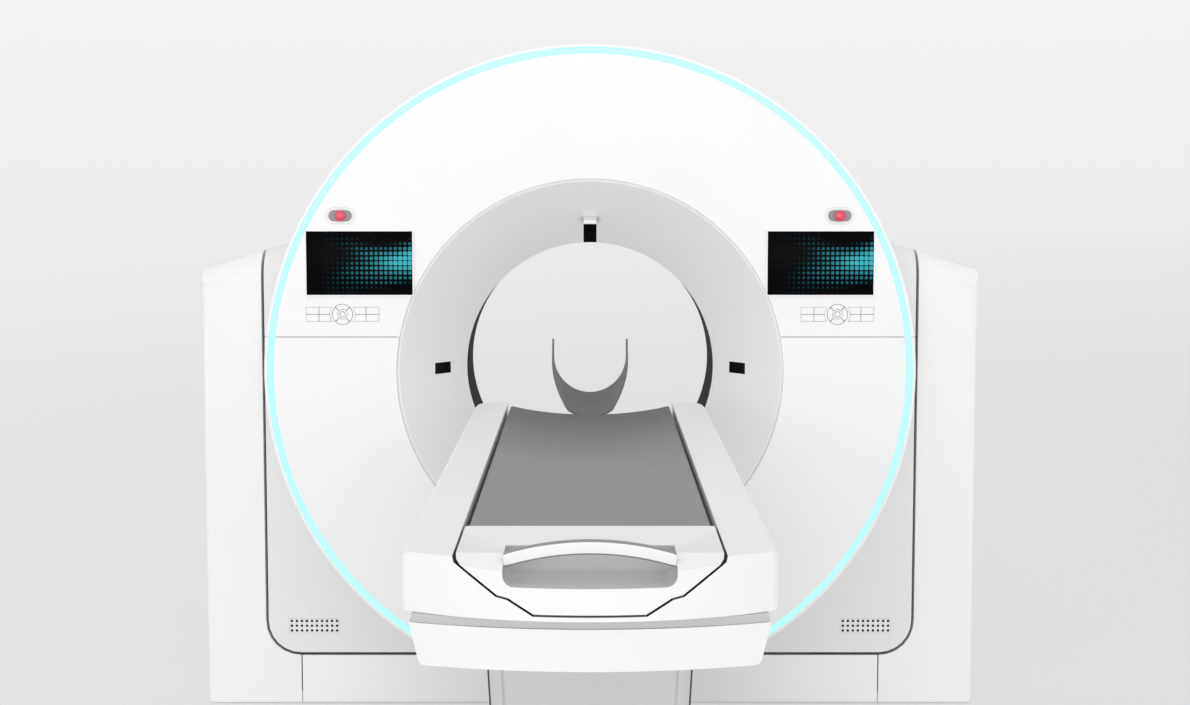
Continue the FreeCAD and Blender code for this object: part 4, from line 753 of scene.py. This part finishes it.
def make_mattress():
    """The thin dished mattress, a little smaller than its space until its cover puffs out."""
    pad = skin_of("mattress")
    open_up(pad)
    bpy.ops.mesh.select_all(action="SELECT")
    bpy.ops.transform.shrink_fatten(value=-PAD_SWELL)
    put_down()
    take(pad)
    pad.data.remesh_voxel_size = 0.006
    bpy.ops.object.voxel_remesh()
    puff_up(pad)
    evened = pad.modifiers.new("evened", "SMOOTH")
    evened.factor = 0.5
    evened.iterations = 3
    apply_modifiers(pad)
    take(pad)
    bpy.ops.object.shade_smooth_by_angle(angle=math.radians(50))
    return place(pad, PAD_GREY, "cradle", "pad_grey", "mattress")


make_handle()
make_mattress()


# ---------------------------------------------------------------- controls
def ring_piece(name, inner, outer, low, high, sweep=360.0, start=0.0, steps=48):
    """Part of a flat ring, lying down: one straight edge swept round, then given its height."""
    obj = flat_piece(name)
    open_up(obj)
    choose(obj, lambda v: v.co.y > 0, "verts")
    bpy.ops.mesh.delete(type="VERT")
    bpy.ops.mesh.select_all(action="SELECT")
    bpy.ops.transform.resize(value=(outer - inner, 0, 1), center_override=(0, 0, 0))
    bpy.ops.transform.translate(value=((inner + outer) / 2, 0, low))
    bpy.ops.mesh.spin(steps=steps, angle=-math.radians(sweep), center=(0, 0, low), axis=(0, 0, 1))
    bpy.ops.mesh.select_mode(type="FACE")
    bpy.ops.mesh.select_all(action="SELECT")
    bpy.ops.mesh.remove_doubles(threshold=0.000001)
    bpy.ops.mesh.extrude_region_move(TRANSFORM_OT_translate={"value": (0, 0, high - low)})
    bpy.ops.mesh.select_all(action="SELECT")
    bpy.ops.mesh.normals_make_consistent(inside=False)
    put_down()
    obj.rotation_euler = (0, 0, math.radians(start))
    settle(obj)
    return obj


def make_round_key(name, side):
    """The four-way key: four caps and a plain ring on a carrier painted dark as shade for the gaps,
    round a dished centre key.
    """
    quarter = ring_piece(name + "_cap", CAPS_IN, CAPS_OUT, KEY_BACK, KEY_FACE,
                         sweep=85.5, start=-42.75, steps=14)
    soften(quarter, 0.0003)
    caps = [quarter]
    for turn in (1, 2, 3):
        twin = copy_of(quarter, f"{name}_cap_{turn}")
        twin.rotation_euler = (0, 0, math.radians(90 * turn))
        settle(twin)
        caps.append(twin)
    inner = ring_piece(name + "_inner", COLLAR_IN, COLLAR_OUT, KEY_BACK, COLLAR_FACE)
    soften(inner, 0.0003)
    caps = join(caps + [inner], name + "_round_caps")
    carrier = ring_piece(name + "_carrier", CARRIER_IN, CARRIER_OUT, KEY_FOOT, CARRIER_FACE)
    soften(carrier, 0.0003)
    centre = ring_piece(name + "_centre", 0.0004, CENTRE_OUT, KEY_FOOT, KEY_FACE, steps=32)
    open_up(centre)
    choose(centre, lambda v: v.co.xy.length < 0.001, "verts")
    bpy.ops.mesh.merge(type="CENTER")
    choose(centre, lambda v: v.co.xy.length < 0.001, "verts")
    bpy.ops.transform.translate(value=(0, 0, 0.0016))
    put_down()
    soften(centre, 0.0004)
    for obj in (caps, carrier, centre):
        stand_up(obj, side * PAD_X, PAD_Z)
    place(caps, KEY_WHITE, f"{name}_ring_key_body", "key_white", f"{name}_ring_key")
    place(carrier, KEY_SHADOW, f"{name}_ring_key_body", "plate_grey")
    place(centre, KEY_WHITE, f"{name}_centre_key_body", "key_white", f"{name}_centre_key")


def make_stop_rim(name, side):
    """The raised rim round the sunken plate of the stop button, sloping out and in."""
    wide, high = STOP_W + 2 * RIM_SPREAD, STOP_H + 2 * RIM_SPREAD
    rim = flat_piece(name + "_stop_rim", wide, high)
    open_up(rim)
    bpy.ops.mesh.select_all(action="SELECT")
    bpy.ops.mesh.bevel(offset=(high - HAIR) / 2, segments=14, affect="VERTICES")
    bpy.ops.mesh.remove_doubles(threshold=0.0002)
    bpy.ops.mesh.select_mode(type="FACE")
    bpy.ops.mesh.select_all(action="SELECT")
    bpy.ops.mesh.inset(thickness=0.0010, depth=0.0012)
    bpy.ops.mesh.inset(thickness=0.0034, depth=0.0005)
    bpy.ops.mesh.inset(thickness=0.0032, depth=-0.0026)
    bpy.ops.mesh.delete(type="FACE")
    put_down()
    soften(rim, 0.0, angle=50)
    stand_up(rim, side * STOP_X, STOP_Z)
    place(rim, RIM_WHITE, "head", "white_cover")

    def off_middle(c):
        """How far a place is from the line between the middles of the rim's round ends."""
        return math.hypot(max(abs(abs(c.x) - STOP_X) - (wide - high) / 2, 0), c.z - STOP_Z)

    # Painted shadow: the rim's outer slope is painted grey as a shadow outline.
    return also(rim, SHADE_GREY_PAINT, lambda c, n: -0.8 < n.y < -0.3 and c.y > FRONT - 0.0008
                and off_middle(c) > high / 2 - 0.0008)


def make_stop_button(name, side):
    """The red stop button: a domed mushroom on its stem."""
    put_down()
    bpy.ops.mesh.primitive_cylinder_add(vertices=56, radius=MUSHROOM_R, depth=0.0062,
                                        location=(0, 0, 0.0071))
    button = bpy.context.object
    button.name = name + "_stop_mushroom"
    settle(button)
    open_up(button)
    choose(button, lambda f: f.normal.z > 0.9)
    for step, rise in ((0.0022, 0.0009), (0.0034, 0.0008), (0.0042, 0.0004), (0.0030, 0.0001)):
        bpy.ops.mesh.inset(thickness=step, depth=rise)
    choose(button, lambda f: f.normal.z < -0.9)
    bpy.ops.mesh.inset(thickness=0.0034, depth=0.0)
    bpy.ops.mesh.inset(thickness=0.0052, depth=0.0006)
    bpy.ops.mesh.extrude_region_move(TRANSFORM_OT_translate={"value": (0, 0, -0.0200)})
    put_down()
    soften(button, 0.0005, angle=40)
    stand_up(button, side * STOP_X, STOP_Z)
    return place(button, BUTTON_RED, f"{name}_stop", "button_red", f"{name}_stop_button")


def make_screen(name, side):
    """The glass of one screen, with the UV map that its picture follows."""
    width, height = SCREEN_W - GLASS_EDGE, SCREEN_H - GLASS_EDGE
    put_down()
    bpy.ops.mesh.primitive_cube_add(size=1.0)
    glass = bpy.context.object
    glass.name = name + "_screen_glass"
    glass.scale = (width, height, GLASS_THICK)
    settle(glass)
    bevel_where(glass, along_edge(lambda p: p.z > 0), 0.0006, 2)
    take(glass)
    while glass.data.uv_layers:
        glass.data.uv_layers.remove(glass.data.uv_layers[0])
    picture = glass.data.uv_layers.new(name="picture")
    for loop in glass.data.loops:
        point = glass.data.vertices[loop.vertex_index].co
        picture.data[loop.index].uv = (point.x / width + 0.5, point.y / height + 0.5)
    bpy.ops.object.shade_smooth_by_angle(angle=math.radians(35))
    stand_up(glass, side * SCREEN_X, SCREEN_Z,
             FRONT - SCREEN_PROUD + GLASS_SUNK + GLASS_THICK / 2)
    return place(glass, SCREEN_LIT, "head", "screen_black", "screen_panels")


def make_grille(name, side):
    """A plate with three rows of ten round holes, over black cloth."""
    plate = flat_piece(name + "_grille_plate", GRILLE_PITCH_X, GRILLE_PITCH_Z)
    open_up(plate)
    bpy.ops.mesh.select_all(action="SELECT")
    bpy.ops.mesh.subdivide(number_cuts=4)
    bpy.ops.mesh.select_all(action="SELECT")
    bpy.ops.mesh.delete(type="ONLY_FACE")
    choose(plate, lambda v: abs(v.co.x) < 0.49 * GRILLE_PITCH_X
           and abs(v.co.y) < 0.49 * GRILLE_PITCH_Z, "verts")
    bpy.ops.mesh.delete(type="VERT")
    put_down()
    bpy.ops.mesh.primitive_circle_add(vertices=20, radius=HOLE_R, fill_type="NOTHING")
    plate = join([plate, bpy.context.object], name + "_grille_plate")
    open_up(plate)
    bpy.ops.mesh.select_mode(type="EDGE")
    bpy.ops.mesh.select_all(action="SELECT")
    bpy.ops.mesh.bridge_edge_loops()
    choose(plate, along_edge(lambda p: p.xy.length < 1.01 * HOLE_R), "edges")
    bpy.ops.mesh.extrude_edges_move(TRANSFORM_OT_translate={"value": (0, 0, -HOLE_DEEP)})
    bpy.ops.mesh.select_all(action="SELECT")
    bpy.ops.mesh.normals_make_consistent(inside=False)
    put_down()
    for axis, count, pitch in ((0, GRILLE_COLS, GRILLE_PITCH_X), (1, GRILLE_ROWS, GRILLE_PITCH_Z)):
        row = plate.modifiers.new("row", "ARRAY")
        row.count = count
        row.use_relative_offset = False
        row.use_constant_offset = True
        row.constant_offset_displace = [pitch if number == axis else 0 for number in range(3)]
        row.use_merge_vertices = True
        row.merge_threshold = 0.00005
    apply_modifiers(plate)
    plate.location = (-(GRILLE_COLS - 1) * GRILLE_PITCH_X / 2,
                      -(GRILLE_ROWS - 1) * GRILLE_PITCH_Z / 2, 0)
    settle(plate)
    open_up(plate)
    reach_x, reach_z = GRILLE_COLS * GRILLE_PITCH_X / 2, GRILLE_ROWS * GRILLE_PITCH_Z / 2
    at_ends = along_edge(lambda p: p.z > -0.001 and abs(p.x) > reach_x - HAIR)
    at_sides = along_edge(lambda p: p.z > -0.001 and abs(p.y) > reach_z - HAIR)
    choose(plate, lambda e: at_ends(e) or at_sides(e), "edges")
    bpy.ops.mesh.extrude_edges_move(TRANSFORM_OT_translate={"value": (0, 0, -GRILLE_DEEP)})
    put_down()
    soften(plate, 0.0, angle=40)
    put_down()
    bpy.ops.mesh.primitive_grid_add(x_subdivisions=20, y_subdivisions=6, size=1.0,
                                    location=(0, 0, -CLOTH_BACK))
    cloth = bpy.context.object
    cloth.name = name + "_speaker_cloth"
    cloth.scale = (2 * reach_x - 0.002, 2 * reach_z - 0.002, 1)
    settle(cloth)
    sheet = cloth.modifiers.new("sheet", "SOLIDIFY")
    sheet.thickness = CLOTH_THICK
    sheet.offset = -1
    apply_modifiers(cloth)
    for obj in (plate, cloth):
        stand_up(obj, side * GRILLE_X, GRILLE_Z, HEAD_FRONT)
    place(plate, HEAD_WHITE, "head", "white_cover", "speaker_grilles")
    place(cloth, SPEAKER_CLOTH, "head", "foot_rubber")


def make_laser_hood():
    """The little hood over the top laser window, with an upright front."""
    slope = (FLARE_R - BORE_R) / FLARE_DEEP
    tall = HOOD_HIGH - HOOD_LOW
    put_down()
    bpy.ops.mesh.primitive_cube_add(size=1.0)
    hood = bpy.context.object
    hood.name = "laser_hood"
    hood.scale = (LASER_W + 0.0006, HOOD_DEEP, tall)
    hood.location = (0, HOOD_FRONT + HOOD_DEEP / 2, HOOD_LOW + tall / 2)
    settle(hood)
    open_up(hood)
    choose(hood, lambda v: v.co.y > HOOD_FRONT + 0.0052 and v.co.z < HOOD_LOW + tall / 2, "verts")
    bpy.ops.transform.translate(value=(0, tall / slope - 0.0016, 0))
    put_down()
    bevel_where(hood, along_edge(lambda p: p.y < HOOD_FRONT + 0.0012), 0.0030, 4)
    soften(hood, 0.0006)
    return place(hood, HOOD_WHITE, "head", "white_cover")


for side_name, way in SIDES:
    make_round_key(side_name, way)
    make_stop_rim(side_name, way)
    make_stop_button(side_name, way)
    make_screen(side_name, way)
    make_grille(side_name, way)
make_laser_hood()


# ---------------------------------------------------------------- floor anchors of the table
def make_floor_anchors():
    """One washer and hexagon nut on its stud, repeated at the four holes of the floor plate."""
    washer = ring_piece("anchor_washer", 0.0085, WASHER_R, FLOOR_PLATE_TOP, FLOOR_PLATE_TOP + 0.003,
                        steps=32)
    put_down()
    middle = (0, 0, FLOOR_PLATE_TOP + 0.009)
    bpy.ops.mesh.primitive_cylinder_add(vertices=6, radius=NUT_R, depth=0.012, location=middle)
    nut = bpy.context.object
    settle(nut)
    bevel_where(nut, along_edge(lambda p: near(p.z, FLOOR_PLATE_TOP + 0.015)), 0.0012, 1)
    put_down()
    bpy.ops.mesh.primitive_cylinder_add(vertices=20, radius=STUD_R, depth=0.030, location=middle)
    stud = bpy.context.object
    settle(stud)
    bevel_where(stud, along_edge(lambda p: p.z > FLOOR_PLATE_TOP + 0.023), 0.0014, 2)
    anchor = join([washer, nut, stud], "floor_anchor")
    soften(anchor, 0.0004)
    anchors = [anchor] + [copy_of(anchor, f"floor_anchor_{number}") for number in (2, 3, 4)]
    for obj, (x, y) in zip(anchors, ANCHORS):
        obj.location = (x, y, 0)
        settle(obj)
        place(obj, ANCHOR_STEEL, "stand", "painted_steel")


make_floor_anchors()

# ---------------------------------------------------------------- what stays as the frame has it
PLAIN = {"painted_steel": FRAME_PAINT, "foot_rubber": RUBBER, "column_aluminium": COLUMN_METAL,
         "board_grey": BOARD_DARK, "rotor_metal": ROTOR_METAL, "tube_metal": TUBE_PAINT,
         "detector_dark": DETECTOR_PAINT, "generator_metal": POWER_PAINT}
for node_name, slot_name in SLOT_OF.items():
    if slot_name in PLAIN:
        for socket in NODES[node_name].material_slots:
            socket.material = PLAIN[slot_name]


# ---------------------------------------------------------------- floor, light and camera
FLOOR_REACH = 250.0
FLOOR_MIDDLE = -1.2
FLOOR_PAINT = (0.90, 0.90, 0.90)
FLOOR_LEVELS = ((0.0, 0.730), (1.4, 0.733), (2.5, 0.738), (4.7, 0.745), (9.0, 0.757),
                (20.4, 0.800), (60.0, 0.842), (143.0, 0.855), (250.0, 0.858))  # metres, level
SIDE_FALL, SIDE_LIMIT, SIDE_REACH = 0.1, 0.35, 120.0   # the floor is a little darker to the right
OWN_LEVEL, OWN_FROM, OWN_RISE = 0.55, 2.0, 0.075       # how much its own level shows, and where
ROOM_LEVELS = ((0.0, 0.861), (0.03, 0.872), (0.09, 0.888))                     # height, level
ROOM_LIGHT = 0.84
CAMERA_AT = (0, -5.738, 1.5516)
CAMERA_DIP = 5.142                                     # degrees below level


def level_ramp(tree, stops):
    """A smooth run of grey levels."""
    ramp = tree.nodes.new("ShaderNodeValToRGB")
    while len(ramp.color_ramp.elements) < len(stops):
        ramp.color_ramp.elements.new(0.5)
    for element, (position, level) in zip(ramp.color_ramp.elements, stops):
        element.position = position
        element.color = (level, level, level, 1)
    return ramp


def seen_directly(tree):
    """One for the camera and for what mirrors or lets through, none for the light on the object."""
    paths = tree.nodes.new("ShaderNodeLightPath")
    return maths(tree, "MAXIMUM", paths.outputs["Is Camera Ray"],
                 maths(tree, "MAXIMUM", paths.outputs["Is Glossy Ray"],
                       paths.outputs["Is Transmission Ray"]))


def make_floor():
    """A wide pale floor that pales further with distance, and keeps the object's shadow."""
    put_down()
    bpy.ops.mesh.primitive_circle_add(vertices=128, radius=FLOOR_REACH, fill_type="NGON",
                                      location=(0, FLOOR_MIDDLE, -0.0005))
    floor = bpy.context.object
    floor.name = "floor"
    settle(floor)
    material, tree, shader = new_material("pale_floor")
    where = tree.nodes.new("ShaderNodeTexCoord").outputs["Object"]
    off = node_in(tree, "ShaderNodeVectorMath", operation="SUBTRACT")
    tree.links.new(where, off.inputs[0])
    off.inputs[1].default_value = (0, FLOOR_MIDDLE, 0)
    reach = node_in(tree, "ShaderNodeVectorMath", operation="LENGTH")
    tree.links.new(off.outputs["Vector"], reach.inputs[0])
    metres = reach.outputs["Value"]
    ramp = level_ramp(tree, [(math.sqrt(far / FLOOR_REACH), level) for far, level in FLOOR_LEVELS])
    tree.links.new(maths(tree, "POWER", maths(tree, "DIVIDE", metres, FLOOR_REACH), 0.5),
                   ramp.inputs["Fac"])
    x, y, _ = object_axes(tree)
    ahead = maths(tree, "MAXIMUM", maths(tree, "ADD", y, -CAMERA_AT[1]), 3.0)
    close = maths(tree, "MAXIMUM", maths(tree, "MULTIPLY_ADD", metres, -1 / SIDE_REACH, 1.0), 0.0)
    slant = maths(tree, "DIVIDE", x, ahead)
    slant = product(tree, held_between(tree, slant, -SIDE_LIMIT, SIDE_LIMIT), close)
    side = maths(tree, "MULTIPLY_ADD", slant, -SIDE_FALL, 1.0)
    shown = node_in(tree, "ShaderNodeVectorMath", operation="SCALE")
    tree.links.new(ramp.outputs["Color"], shown.inputs[0])
    tree.links.new(side, shown.inputs["Scale"])
    worn = node_in(tree, "ShaderNodeGroup", node_tree=MOULDING)
    duller = tuple(channel * 0.99 for channel in FLOOR_PAINT)
    tree.links.new(blend_colours(tree, worn.outputs["Tone"], FLOOR_PAINT, duller),
                   shader.inputs["Base Color"])
    shader.inputs["Roughness"].default_value = 0.9
    shader.inputs["Specular IOR Level"].default_value = 0.1
    glow = tree.nodes.new("ShaderNodeEmission")
    tree.links.new(shown.outputs["Vector"], glow.inputs["Color"])
    further = product(tree, maths(tree, "SUBTRACT", metres, OWN_FROM), OWN_RISE)
    further = held_between(tree, further, 0.0, 1.0)
    own = maths(tree, "MULTIPLY_ADD", further, 1 - OWN_LEVEL, OWN_LEVEL)
    share = product(tree, seen_directly(tree), own)
    both = tree.nodes.new("ShaderNodeMixShader")
    tree.links.new(share, both.inputs["Fac"])
    tree.links.new(shader.outputs["BSDF"], both.inputs[1])
    tree.links.new(glow.outputs["Emission"], both.inputs[2])
    tree.links.new(both.outputs["Shader"], tree.nodes["Material Output"].inputs["Surface"])
    floor.data.materials.append(material)


def make_world():
    """An even pale room: what the camera sees, and a softer level that lights the object."""
    world = bpy.data.worlds.new("pale_room")
    bpy.context.scene.world = world
    world.use_nodes = True
    tree = world.node_tree
    tree.nodes.clear()
    where = tree.nodes.new("ShaderNodeTexCoord").outputs["Generated"]
    axes = tree.nodes.new("ShaderNodeSeparateXYZ")
    tree.links.new(where, axes.inputs[0])
    ramp = level_ramp(tree, ROOM_LEVELS)
    tree.links.new(axes.outputs["Z"], ramp.inputs["Fac"])
    shown = tree.nodes.new("ShaderNodeBackground")
    tree.links.new(ramp.outputs["Color"], shown.inputs["Color"])
    light = tree.nodes.new("ShaderNodeBackground")
    light.inputs["Color"].default_value = (1, 1, 1, 1)
    light.inputs["Strength"].default_value = ROOM_LIGHT
    both = tree.nodes.new("ShaderNodeMixShader")
    tree.links.new(seen_directly(tree), both.inputs["Fac"])
    tree.links.new(light.outputs["Background"], both.inputs[1])
    tree.links.new(shown.outputs["Background"], both.inputs[2])
    sink = tree.nodes.new("ShaderNodeOutputWorld")
    tree.links.new(both.outputs["Shader"], sink.inputs["Surface"])


def softbox(name, place_at, aim, width, height, power):
    lamp = bpy.data.lights.new(name, "AREA")
    lamp.shape = "RECTANGLE"
    lamp.size = width
    lamp.size_y = height
    lamp.energy = power
    obj = bpy.data.objects.new(name, lamp)
    bpy.context.scene.collection.objects.link(obj)
    obj.visible_camera = False
    obj.location = place_at
    obj.rotation_euler = (Vector(aim) - Vector(place_at)).to_track_quat("-Z", "Y").to_euler()
    return obj


def make_camera():
    camera = bpy.data.cameras.new("photo_view")
    camera.lens = 58.0
    camera.sensor_width = 36.0
    camera.shift_x = 0.0042
    obj = bpy.data.objects.new("photo_view", camera)
    bpy.context.scene.collection.objects.link(obj)
    obj.location = CAMERA_AT
    obj.rotation_euler = (math.radians(90 - CAMERA_DIP), 0, 0)
    bpy.context.scene.camera = obj


make_floor()
make_world()
softbox("front_softbox", (-1.2, -17.5, 2.4), (0, -0.3, 1.1), 14.0, 4.0, 640)
softbox("top_softbox", (-0.5, -4.2, 4.6), (0, -1.6, 0.6), 4.0, 3.0, 16)
make_camera()
bpy.context.scene.view_settings.view_transform = "Standard"
